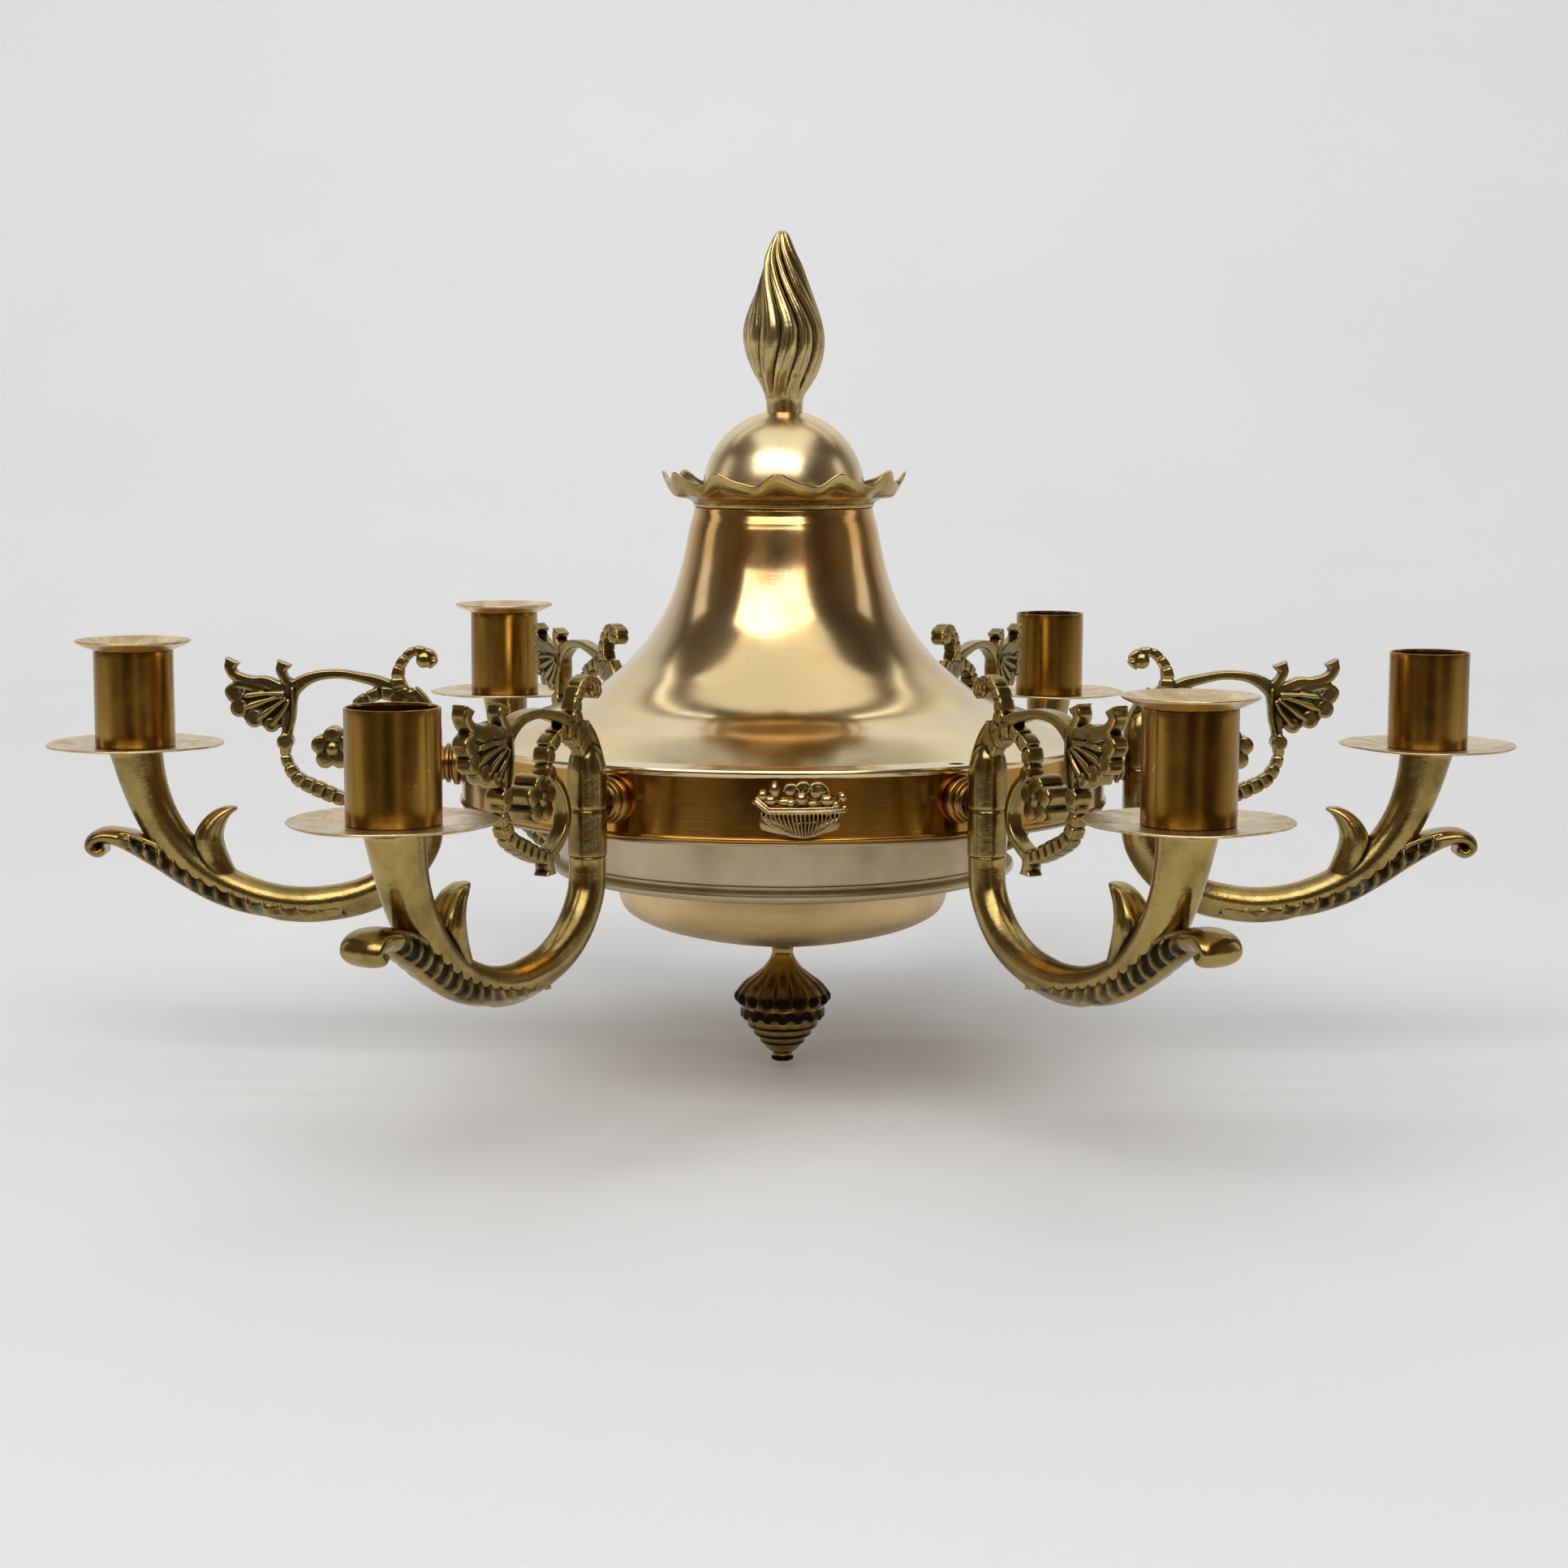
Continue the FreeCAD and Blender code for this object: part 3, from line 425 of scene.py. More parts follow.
def spun_brass(name, bright, warm, shine, lines=0.35, painted_reflection_heights=None):
    """Polished spun sheet: soft tint changes, fine turning lines, small stains and pits.
    The last argument gives two heights in metres between which the metal turns orange in upright streaks, a
    painted reflection of warm surroundings."""
    s = Shader(name)
    clouds = s.noise(14, 5)
    tint = s.mix(s.ramp(clouds, 0.38, 0.62), bright, warm)
    # Painted reflection: between two heights the metal turns orange in upright streaks, standing in for warm
    # surroundings seen in the polished neck.
    if painted_reflection_heights:
        streak = s.noise(1.0, 5, 0.65, place=s.stretched((130, 130, 9)))
        height = s.math("ADD", s.split()[2], s.ramp(streak, 0.25, 0.75, -0.011, 0.011))
        share = s.math("MULTIPLY", s.ramp(height, *painted_reflection_heights), s.ramp(streak, 0.3, 0.7, 0.55, 1.0))
        tint = s.mix(share, tint, (0.62, 0.33, 0.08))
    stain = s.ramp(s.noise(120, 6, 0.7), 0.66, 0.76)
    tint = s.mix(s.math("MULTIPLY", stain, 0.5), tint, tuple(c * 0.45 for c in warm))
    turning = s.noise(900, 3, 0.6, place=s.rings())
    smear = s.noise(40, 4, 0.6, 0.6)
    polish = s.ramp(smear, 0.35, 0.7, shine, shine + 0.09)
    rough = s.math("ADD", polish, s.math("MULTIPLY", turning, 0.06 * lines))
    wave = s.noise(22, 2, 0.4)
    normal = s.bump(turning, 0.00002 * lines)
    normal = s.bump(wave, 0.0012, 0.35, normal)
    s.set(Base_Color=tint, Metallic=1.0, Roughness=rough, Normal=normal)
    return s.material


def streaked_brass(name, bright, deep, shine):
    """Orange lacquered tube: upright streaks, darker bands, specks of wear."""
    s = Shader(name)
    streak = s.noise(1.0, 5, 0.6, place=s.stretched((260, 260, 9)))
    broad = s.noise(1.0, 3, 0.5, place=s.stretched((60, 60, 12)))
    tint = s.mix(s.ramp(broad, 0.35, 0.65), bright, deep)
    tint = s.mix(s.ramp(streak, 0.5, 0.8, 0.0, 0.6), tint, tuple(c * 0.6 for c in deep))
    speck = s.ramp(s.noise(420, 3, 0.7), 0.7, 0.76)
    tint = s.mix(s.math("MULTIPLY", speck, 0.6), tint, (0.9, 0.78, 0.5))
    rough = s.ramp(s.noise(70, 5, 0.65), 0.3, 0.75, shine, shine + 0.16)
    normal = s.bump(streak, 0.00006, 0.5)
    s.set(Base_Color=tint, Metallic=1.0, Roughness=rough, Normal=normal)
    return s.material


def satin_brass(name, bright, dull, shine):
    """Pale brushed pan: concentric brush lines and cloudy wear."""
    s = Shader(name)
    brushed = s.noise(1400, 4, 0.7, place=s.rings())
    clouds = s.noise(18, 6, 0.6)
    tint = s.mix(s.ramp(clouds, 0.35, 0.65), bright, dull)
    speck = s.ramp(s.noise(260, 4, 0.7), 0.68, 0.74)
    tint = s.mix(s.math("MULTIPLY", speck, 0.5), tint, tuple(c * 0.4 for c in dull))
    rough = s.math("ADD", s.ramp(clouds, 0.3, 0.7, shine, shine + 0.1), s.math("MULTIPLY", brushed, 0.12))
    normal = s.bump(brushed, 0.00005, 0.6)
    s.set(Base_Color=tint, Metallic=1.0, Roughness=rough, Normal=normal)
    return s.material


def cast_brass(name, bright, body, dark, shine, verdigris=0.5, grain=0.00012):
    """Antique casting: rubbed high spots with a painted highlight, dark patina with painted shade and green
    bloom in the recesses, fine sand grain.
    """
    s = Shader(name)
    depth = s.add("ShaderNodeAttribute", output="Fac", attribute_name="cavity")
    blotch = s.noise(55, 6, 0.65)
    tint = s.mix(s.ramp(blotch, 0.35, 0.68), bright, body)
    uneven = s.math("ADD", depth, s.ramp(s.noise(130, 5, 0.7), 0.3, 0.7, -0.16, 0.16))
    # Recesses darken towards the dark colour: partly patina, partly painted shade standing in for occlusion.
    recess = s.ramp(uneven, 0.03, 0.42)
    tint = s.mix(recess, tint, dark)
    # High spots lighten: partly rubbed wear, partly a painted highlight.
    wear_and_highlight = s.ramp(uneven, -0.1, -0.5, 0.0, 0.55)
    tint = s.mix(wear_and_highlight, tint, tuple(min(c * 1.35, 0.95) for c in bright))
    green = s.math("MULTIPLY", s.ramp(s.noise(38, 5, 0.7), 0.6, 0.7), s.ramp(uneven, -0.02, 0.25))
    green = s.math("MULTIPLY", green, verdigris)
    tint = s.mix(green, tint, (0.2, 0.36, 0.3))
    pit = s.ramp(s.noise(600, 3, 0.7), 0.67, 0.73)
    tint = s.mix(s.math("MULTIPLY", pit, 0.55), tint, dark)
    metal = s.math("SUBTRACT", 1.0, s.math("MULTIPLY", green, 0.9))
    rough = s.math("ADD", s.ramp(blotch, 0.3, 0.7, shine, shine + 0.12), s.math("MULTIPLY", recess, 0.22))
    fine = s.noise(750, 4, 0.6)
    normal = s.bump(fine, grain, 0.5)
    normal = s.bump(s.noise(160, 3, 0.5), grain * 3, 0.4, normal)
    s.set(Base_Color=tint, Metallic=metal, Roughness=rough, Normal=normal)
    return s.material


def worn_plate(name, bright, dull, shine):
    """Pale drip plate: mottled tarnish and crossing scratches."""
    s = Shader(name)
    mottle = s.noise(95, 7, 0.7, 0.8)
    tint = s.mix(s.ramp(mottle, 0.36, 0.62), bright, dull)
    scratch_a = s.noise(1.0, 3, 0.6, place=s.stretched((60, 1500, 60)))
    scratch_b = s.noise(1.0, 3, 0.6, place=s.stretched((1300, 70, 60)))
    scratch = s.math("MAXIMUM", s.ramp(scratch_a, 0.62, 0.7), s.ramp(scratch_b, 0.64, 0.72))
    tint = s.mix(s.math("MULTIPLY", scratch, 0.45), tint, tuple(min(c * 1.2, 0.95) for c in bright))
    rough = s.math("ADD", s.ramp(mottle, 0.3, 0.7, shine, shine + 0.2), s.math("MULTIPLY", scratch, 0.1))
    normal = s.bump(mottle, 0.00025, 0.45)
    normal = s.bump(scratch, 0.00003, 0.5, normal)
    s.set(Base_Color=tint, Metallic=1.0, Roughness=rough, Normal=normal)
    return s.material


def plain_steel(name):
    """Hidden nuts and studs: dull plated steel with light rust."""
    s = Shader(name)
    rust = s.ramp(s.noise(300, 5, 0.7), 0.55, 0.7)
    tint = s.mix(rust, (0.42, 0.4, 0.38), (0.22, 0.13, 0.08))
    s.set(Base_Color=tint, Metallic=1.0, Roughness=s.ramp(rust, 0, 1, 0.35, 0.7),
          Normal=s.bump(s.noise(900, 3), 0.00008, 0.5))
    return s.material


# The bell's neck carries a painted orange reflection from 28 to 60 mm up.
bell_metal = spun_brass("bell_metal", (0.82, 0.69, 0.44), (0.72, 0.54, 0.27), 0.13, painted_reflection_heights=(0.028, 0.06))
dome_metal = spun_brass("dome_metal", (0.84, 0.7, 0.43), (0.76, 0.57, 0.29), 0.22)
band_metal = spun_brass("band_metal", (0.56, 0.31, 0.07), (0.4, 0.2, 0.035), 0.1, lines=0.6)
cup_metal = streaked_brass("cup_metal", (0.46, 0.26, 0.05), (0.22, 0.11, 0.016), 0.14)
collar_metal = streaked_brass("collar_metal", (0.5, 0.33, 0.1), (0.3, 0.17, 0.04), 0.18)
pan_metal = satin_brass("pan_metal", (0.62, 0.51, 0.34), (0.42, 0.33, 0.19), 0.24)
dish_metal = satin_brass("dish_metal", (0.74, 0.55, 0.29), (0.54, 0.37, 0.16), 0.22)
arm_metal = cast_brass("arm_metal", (0.42, 0.3, 0.1), (0.17, 0.12, 0.036), (0.02, 0.014, 0.006), 0.15)
bracket_metal = cast_brass("bracket_metal", (0.34, 0.245, 0.085), (0.145, 0.105, 0.035),
                           (0.016, 0.012, 0.005), 0.16)
flame_metal = cast_brass("flame_metal", (0.6, 0.47, 0.22), (0.3, 0.22, 0.085),
                         (0.026, 0.02, 0.009), 0.16, verdigris=0.9)
scallop_metal = cast_brass("scallop_metal", (0.54, 0.4, 0.15), (0.32, 0.22, 0.07),
                           (0.035, 0.022, 0.008), 0.16, verdigris=0.3)
pendant_metal = cast_brass("pendant_metal", (0.36, 0.24, 0.08), (0.15, 0.09, 0.024),
                           (0.015, 0.009, 0.003), 0.15, verdigris=0.1)
basket_metal = cast_brass("basket_metal", (0.52, 0.38, 0.18), (0.27, 0.18, 0.065),
                          (0.02, 0.013, 0.005), 0.16, verdigris=0.15)
plate_metal = worn_plate("plate_metal", (0.82, 0.66, 0.41), (0.54, 0.39, 0.18), 0.2)
steel = plain_steel("plain_steel")


# ---------------------------------------------------------------- spun pieces on the axis
def make_bell():
    """Spun bell with turned lines at its top, a conical shoulder and a rolled rim."""
    top = bell_high[2]
    foot_r = RIM_RADIUS * 0.6265
    foot_z = top * 0.153
    top_r = RIM_RADIUS * 0.2743
    rise = top - foot_z
    spread = foot_r - top_r
    curve = ((0.0, 0.97), (0.035, 0.9), (0.11, 0.69), (0.24, 0.47), (0.47, 0.26), (0.7, 0.125), (1.0, 0.0))
    flare = [(top_r + spread * f, foot_z + rise * g) for f, g in curve]
    cone_end = (RIM_RADIUS - 9.0, 0.0)
    side = spline(flare + [(foot_r * 1.22, foot_z * 0.56), cone_end], 180)
    groove = 0.06 * np.exp(-((side[:, 1] - (top - 3.4)) / 0.35) ** 2)
    groove += 0.05 * np.exp(-((side[:, 1] - (top - 5.0)) / 0.3) ** 2)
    side[:, 0] -= groove
    inside = side[::-3] + np.array([-SHEET, -SHEET * 0.35])
    rim = [(RIM_RADIUS - 1.0, 0.05), (RIM_RADIUS - 0.35, -0.15), (RIM_RADIUS, -0.75),
           (RIM_RADIUS - 0.1, -1.7), (RIM_RADIUS - 0.6, bell_low[2]),
           (BAND_RADIUS + GAP, -SHEET - 0.3), (RIM_RADIUS - 9.0, -SHEET)]
    top_edge = rounded([(top_r - 3, top), (top_r - 0.1, top), flare[0]], 0.6)[5:10]
    section = np.vstack([[(ROD_HOLE, top)], top_edge, side, rim, inside,
                         [(top_r - SHEET, top - SHEET), (ROD_HOLE, top - SHEET)]])
    mesh = to_mesh("bell", *lathe(section, 380))
    bell = piece("bell", mesh, bell_metal, ["bell_cover"])
    hole = frame["record"]["mounts"][0]["dims"]
    ring_radius = hole["pcd_mm"] / 2
    for k in range(hole["count"]):
        angle = math.radians(FIRST_CHAIN_HOLE + 360 / hole["count"] * k)
        drill(bell, ring_radius * math.cos(angle), ring_radius * math.sin(angle), hole["hole_r_mm"])
    bell.data.shade_smooth()
    bell.data.set_sharp_from_angle(angle=math.radians(40))


def drill(obj, x, y, radius):
    """Cuts one upright hole through the rim."""
    verts, faces = lathe([(0.001, -4), (radius, -4), (radius, 3), (0.001, 3)], 40)
    cutter = bpy.data.objects.new("cutter", to_mesh("cutter", verts + np.array([x, y, 0]), faces))
    bpy.context.scene.collection.objects.link(cutter)
    cut = obj.modifiers.new("hole", "BOOLEAN")
    cut.object = cutter
    cut.solver = "EXACT"
    drilled = finished_mesh(obj)
    obj.modifiers.clear()
    obj.data = drilled
    bpy.data.objects.remove(cutter)


def make_dome():
    """Half ball on a short skirt."""
    radius = dome_high[0]
    spring = dome_low[2] + 2.8
    angles = np.radians(np.linspace(0, 78, 60))
    outer = np.column_stack([radius * np.cos(angles), spring + radius * np.sin(angles)])
    inner = outer[::-1] * np.array([0.95, 1]) - np.array([0, 0.8])
    section = np.vstack([[(radius - SHEET, dome_low[2]), (radius, dome_low[2])], outer,
                         [(ROD_HOLE, dome_high[2]), (ROD_HOLE, dome_high[2] - SHEET)], inner])
    turned("dome", section, dome_metal, ["dome_cap"])


def make_scallop():
    """Wavy dish: flared wall with a thick turned-up rim in twelve waves."""
    base = scallop_low[2]

    def waves(r, z, theta):
        share = np.clip((r - 30.5) / 6.5, 0, 1) ** 1.7
        wave = np.cos(12 * theta + 0.5) + 0.25 * np.cos(24 * theta + 2.0)
        return r + 0.7 * share * wave, z + 1.75 * share * wave

    under = [(26.0, 0), (28.1, 0.2), (28.5, 1.4), (30.2, 2.5), (33.2, 3.4), (35.3, 4.6), (36.6, 6.4),
             (37.3, 8.0)]
    lip = [(37.5, 8.9), (37.0, 9.2), (36.2, 8.7)]
    upper = [(35.2, 7.0), (33.6, 5.4), (31.0, 4.4), (27.6, 3.6), (26.1, 2.6), (25.9, 2.0)]
    section = spline([(r, base + z) for r, z in under + lip + upper], 150)
    section = np.vstack([section, [(LOOSE_ROD_HOLE, base + 2.0), (LOOSE_ROD_HOLE, base)]])
    turned("scallop", section, scallop_metal, ["scalloped_collar"], 360, waves,
           cavity=True)


def make_flame():
    """Cast flame: strands that gather at the neck, bulge, and swirl into a bent tip."""
    base = flame_low[2]
    height = flame_high[2] - base
    steps = 300
    outline = spline([(0.0, 5.7), (0.06, 5.85), (0.1, 6.4), (0.16, 8.0), (0.24, 10.2), (0.34, 12.0),
                      (0.44, 12.4), (0.54, 11.2), (0.64, 9.3), (0.74, 7.3), (0.84, 5.4), (0.93, 3.3),
                      (0.985, 1.9), (1.0, 0.9)], steps)
    angle = np.linspace(0, 2 * math.pi, steps, endpoint=False)[None, :]
    s = outline[:, :1]
    twist = 0.55 * np.sin(s * math.pi * 1.05) - 1.5 * np.clip(s - 0.45, 0, 1) ** 1.3
    turned_angle = angle - twist
    bend = 0.45 * np.sin(2 * turned_angle + 5 * s) + 0.3 * np.sin(3 * turned_angle + 1.3 - 3 * s)
    strand = np.abs(np.sin(5.5 * turned_angle + bend)) * (0.82 + 0.18 * np.cos(2 * turned_angle + 4 * s))
    fine = np.abs(np.sin(11 * turned_angle + 2 * bend + 0.7))
    window = np.clip((s - 0.09) / 0.1, 0, 1) * np.clip((1.03 - s) / 0.2, 0.15, 1)
    tongue = np.cos(3 * turned_angle + 0.6)
    r = outline[:, 1:] + window * (1.75 * (strand ** 0.6 - 0.8) + 0.3 * (fine ** 0.7 - 0.6) + 0.5 * tongue)
    r = np.maximum(r, 0.4)
    lean_x = -1.3 * np.sin(math.pi * s ** 1.6) * s + 0.2
    lean_x = lean_x - 0.8 * np.clip((s - 0.8) / 0.2, 0, 1)
    x = r * np.cos(angle) + lean_x
    y = r * np.sin(angle)
    z = base + height * np.repeat(s, steps, axis=1)
    rings = np.stack([x, y, z], axis=-1)
    cap_top = np.broadcast_to(rings[-1:].mean(axis=1, keepdims=True), rings[-1:].shape)
    cap_base = np.broadcast_to(rings[:1].mean(axis=1, keepdims=True), rings[:1].shape)
    rings = np.concatenate([cap_base, rings, cap_top])
    mesh = to_mesh("flame", rings.reshape(-1, 3), grid_faces(len(rings), steps))
    add_cavity(mesh, 12, 0.3)
    piece("flame", mesh, flame_metal, ["flame_finial"], sharp=60)


def make_band():
    """Plain drum band with a bead round its lower edge."""
    r = BAND_RADIUS
    low = band_low[2]
    size = 0.8
    turn = np.linspace(math.pi, 0, 12)
    bead = np.column_stack([r + size * np.sin(turn), low + size - size * np.cos(turn)])
    section = np.vstack([[(r - SHEET, band_high[2]), (r, band_high[2])],
                         [(r, low + 2.2), (r, low + 1.7)], bead, [(r - SHEET, low)]])
    turned("band", section, band_metal, ["drum_band"], 480)


def make_pan():
    """First tier: flat flange, straight wall, groove, bright bead and floor ring."""
    top = band_low[2]
    low = pan_low[2]
    r = flange_high[0]
    wall = r * 72.0 / 101.5
    floor_hole = 50.0
    lip_in = 98.9
    lip_out = lip_in + SHEET
    lip_top = top + 2.4
    inner = [(floor_hole, low + 0.1), (floor_hole, low + SHEET), (wall - 3, low + SHEET),
             (wall - 1.3, low + 3.4), (wall - 1.2, top)]
    flange = [(lip_in, top), (lip_in, lip_top), (lip_out, lip_top), (lip_out, top), (r, top - 0.1),
              (r, top - SHEET), (wall + 0.6, top - SHEET - 0.3), (wall + 0.1, top - SHEET - 1.4)]
    bead = [(wall - 0.9, low + 5.6), (wall - 1.6, low + 4.8), (wall - 1.4, low + 4.2),
            (wall + 1.2, low + 3.6),
            (wall + 1.5, low + 2.3), (wall + 0.6, low + 1.1), (wall - 2.5, low + 0.7),
            (wall - 3.0, low + 0.1)]
    section = rounded(inner + flange + bead, 0.5)
    turned("pan", section, pan_metal, ["pan_flange", "lower_pan"], 360)


def make_dish():
    """Second tier: turned lines under the lip, straight wall, soft edge and a shallow cone."""
    top = dish_high[2]
    low = dish_low[2]
    r = dish_high[0]
    boss = 7.0
    outer = [(r + 0.5, top), (r + 0.5, top - 1.0), (r - 0.3, top - 1.4), (r - 0.2, top - 2.2), (r, top - 2.6)]
    curve = spline([(r, top - 3.0), (r - 0.2, top - 6.5), (r - 0.9, top - 9.5), (r - 2.6, top - 12.2),
                    (r - 6.2, top - 14.6), (r - 12.5, top - 17.2), (r - 24, top - 20.2),
                    (r - 36, top - 22.4), (boss + 0.6, low + 0.2)], 90)
    centre = [(boss, low), (LOOSE_ROD_HOLE, low), (LOOSE_ROD_HOLE, low + SHEET), (boss, low + SHEET)]
    section = np.vstack([outer, curve, centre, curve[::-1] + np.array([-0.5, SHEET]), [(r - SHEET, top)]])
    turned("dish", section, dish_metal, ["bottom_dish"], 360)


def make_pendant():
    """Drop finial: neck, sixteen gadroons, scalloped band, stepped rings and a knob."""
    top = pendant_high[2]
    length = top - pendant_low[2]
    upper = spline([(5.4, 0.0), (4.2, 0.03), (3.4, 0.065), (3.6, 0.11), (4.4, 0.155), (6.3, 0.22),
                    (9.2, 0.285), (12.0, 0.34), (14.2, 0.41), (15.1, 0.455), (14.7, 0.49), (13.6, 0.525)],
                   120)
    lower = spline([(13.2, 0.53), (13.5, 0.56), (13.3, 0.61), (12.2, 0.64), (11.3, 0.645), (11.2, 0.69),
                    (10.4, 0.715), (9.3, 0.72), (9.2, 0.765), (8.3, 0.785), (7.3, 0.79), (7.1, 0.83),
                    (6.0, 0.86), (4.6, 0.9), (3.3, 0.925), (3.0, 0.94), (3.5, 0.955), (3.6, 0.975),
                    (2.9, 0.992), (1.4, 1.0), (0.05, 1.0)], 150)
    section = np.vstack([[(0.05, 0.0)], upper, lower])
    section[:, 1] = top - length * section[:, 1]

    def gadroons(r, z, theta):
        share = (top - z) / length
        window = np.clip((share - 0.2) / 0.14, 0, 1) * np.clip((0.528 - share) / 0.03, 0, 1)
        lobe = np.abs(np.cos(8 * theta)) ** 0.6
        skirt = np.clip((share - 0.53) / 0.02, 0, 1) * np.clip((0.645 - share) / 0.02, 0, 1)
        wave = np.cos(16 * theta) * np.clip((share - 0.58) / 0.05, 0, 1)
        return r + window * r * 0.17 * (lobe - 0.82) + skirt * 0.3 * wave, z - skirt * 0.35 * wave

    turned("pendant", section, pendant_metal, ["pendant_finial"], 352, gadroons, 50,
           cavity=True)


# ---------------------------------------------------------------- arms
def bracket_point(u, v):
    """u outward from the socket's axis, v up from the collar's axis."""
    return (TUBE_X + BRACKET_SPAN * u, COLLAR_AXIS_Z + BRACKET_RISE * v)


def branch_point(f, g):
    """f from the tube's axis to the cup's, g down from the drip plate's underside."""
    return (TUBE_X + (ARM_REACH - TUBE_X) * f, PLATE_BOTTOM_Z - BRANCH_DROP * g)


def limb(point, stations, count, around=40, square=2.0, relief=None):
    """A swept limb from stations of (place, place, half height, half width)."""
    rows = [(*point(a, b), h, w) for a, b, h, w in stations]
    run = spline(rows, count)
    return sweep(run[:, :2], run[:, 2], run[:, 3], around, square, relief)


def make_branch():
    """Branch casting: tube with a rib on its outer side, trumpet stem, carved leaf and sprout."""
    r = TUBE_RADIUS
    socket_end = (SOCKET_BOTTOM_Z - PLATE_BOTTOM_Z) / -BRANCH_DROP

    def rib(share, angle):
        window = np.clip((0.52 - share) / 0.05, 0, 1)
        away = np.abs(angle - math.pi)
        return 0.85 * window * np.clip(1.25 - away / 0.34, 0, 1)

    tube_run = ((0.0, socket_end, 1), (0.0, 0.45, 1), (0.012, 0.58, 1), (0.06, 0.72, 1), (0.13, 0.83, 1),
                (0.22, 0.905, 1), (0.32, 0.945, 1), (0.42, 0.96, 1), (0.53, 0.94, 1), (0.64, 0.885, 1.05),
                (0.74, 0.8, 1.12), (0.82, 0.69, 1.16), (0.89, 0.54, 1.2), (0.94, 0.38, 1.26),
                (0.975, 0.2, 1.38), (1.0, 0.0, STEM_TOP_RADIUS / r))
    tube = limb(branch_point, [(f, g, r * k, r * k) for f, g, k in tube_run], 260, 64, relief=rib)

    def hollow(share, angle):
        window = np.clip((share - 0.1) / 0.2, 0, 1) * np.clip((0.95 - share) / 0.2, 0, 1)
        flat = np.abs(np.sin(angle)) ** 3
        return -0.7 * window * flat + 0.35 * window * np.abs(np.sin(3 * angle))

    sprout = limb(branch_point, [
        (0.7, 0.86, 5.4, 5.0), (0.735, 0.72, 5.2, 5.6), (0.75, 0.62, 4.7, 6.0), (0.75, 0.53, 4.2, 5.9),
        (0.725, 0.445, 3.1, 5.0), (0.69, 0.39, 1.9, 3.6), (0.652, 0.365, 0.6, 1.6)], 120, 60, 2.1, hollow)
    groove = limb(branch_point, [(0.3, 0.9, 0.5, 5.0), (0.287, 1.03, 0.5, 5.2)], 20, 24)
    mesh = cast("branch", [tube, sprout, groove], 0.4)
    add_cavity(mesh, 16, 0.35)

    def carving(share, angle, depth_only=False):
        side = np.abs((angle + math.pi) % (2 * math.pi) - math.pi)
        down = side / math.pi
        phase = 17.5 * share ** 1.1 + 1.35 * down
        barb = np.abs(np.sin(math.pi * phase)) ** 0.55
        window = np.clip((down - 0.26) / 0.05, 0, 1) * np.clip((0.93 - down) / 0.06, 0, 1)
        window = window * np.clip((share - 0.03) / 0.06, 0, 1) * np.clip((0.83 - share) / 0.05, 0, 1)
        cut = window * (0.55 + 0.95 * share) * barb
        if depth_only:
            return cut
        edge = 0.5 * np.exp(-((down - 0.22) / 0.045) ** 2) * np.clip((0.86 - share) / 0.1, 0, 1)
        spine = 0.35 * np.exp(-((down - 1.0) / 0.05) ** 2)
        return edge + spine - cut

    rows, columns = 420, 160
    leaf = limb(branch_point, [
        (0.27, 0.975, 1.0, 3.4), (0.3, 0.985, 2.4, 5.0), (0.38, 0.99, 2.9, 5.6), (0.48, 0.985, 3.2, 6.1),
        (0.6, 0.95, 3.8, 6.5), (0.72, 0.87, 4.4, 6.6), (0.83, 0.76, 4.5, 6.7), (0.93, 0.65, 4.2, 6.7),
        (1.03, 0.565, 3.4, 6.8), (1.1, 0.535, 2.7, 6.9), (1.145, 0.555, 2.3, 6.8), (1.158, 0.6, 2.1, 6.6),
        (1.135, 0.635, 1.9, 6.3), (1.112, 0.615, 1.6, 5.8)], rows, columns, 2.3, carving)
    leaf_mesh = to_mesh("leaf", *leaf)
    share = np.linspace(0, 1, rows)[:, None]
    angle = np.linspace(0, 2 * math.pi, columns, endpoint=False)[None, :]
    depth = carving(share, angle, True)
    edge = np.zeros((1, columns))
    # The carved valleys darken and the ridges stay bright: patina and painted shade in the valleys, a painted
    # highlight on the ridges.
    set_cavity(leaf_mesh, (np.vstack([edge, depth, edge]) * 0.55 - 0.1).ravel())
    on_arms("branch", mesh, arm_metal, "arm_branch", sharp=None)
    on_arms("leaf", leaf_mesh, arm_metal, "arm_branch", sharp=None)


def strap(stations, square=7.0, notches=0, depth=0.0, thickness=BRACKET_THICKNESS, count=90):
    """A strap of the bracket from stations (u, v, width), with notches cut across it."""
    def cut(share, angle):
        saw = (share * notches) % 1.0
        return -depth * np.clip(1 - np.abs(saw - 0.12) / 0.16, 0, 1) * np.ones_like(angle)

    rows = [(u, v, w / 2, thickness / 2) for u, v, w in stations]
    return limb(bracket_point, rows, count, 40, square, cut if notches else None)


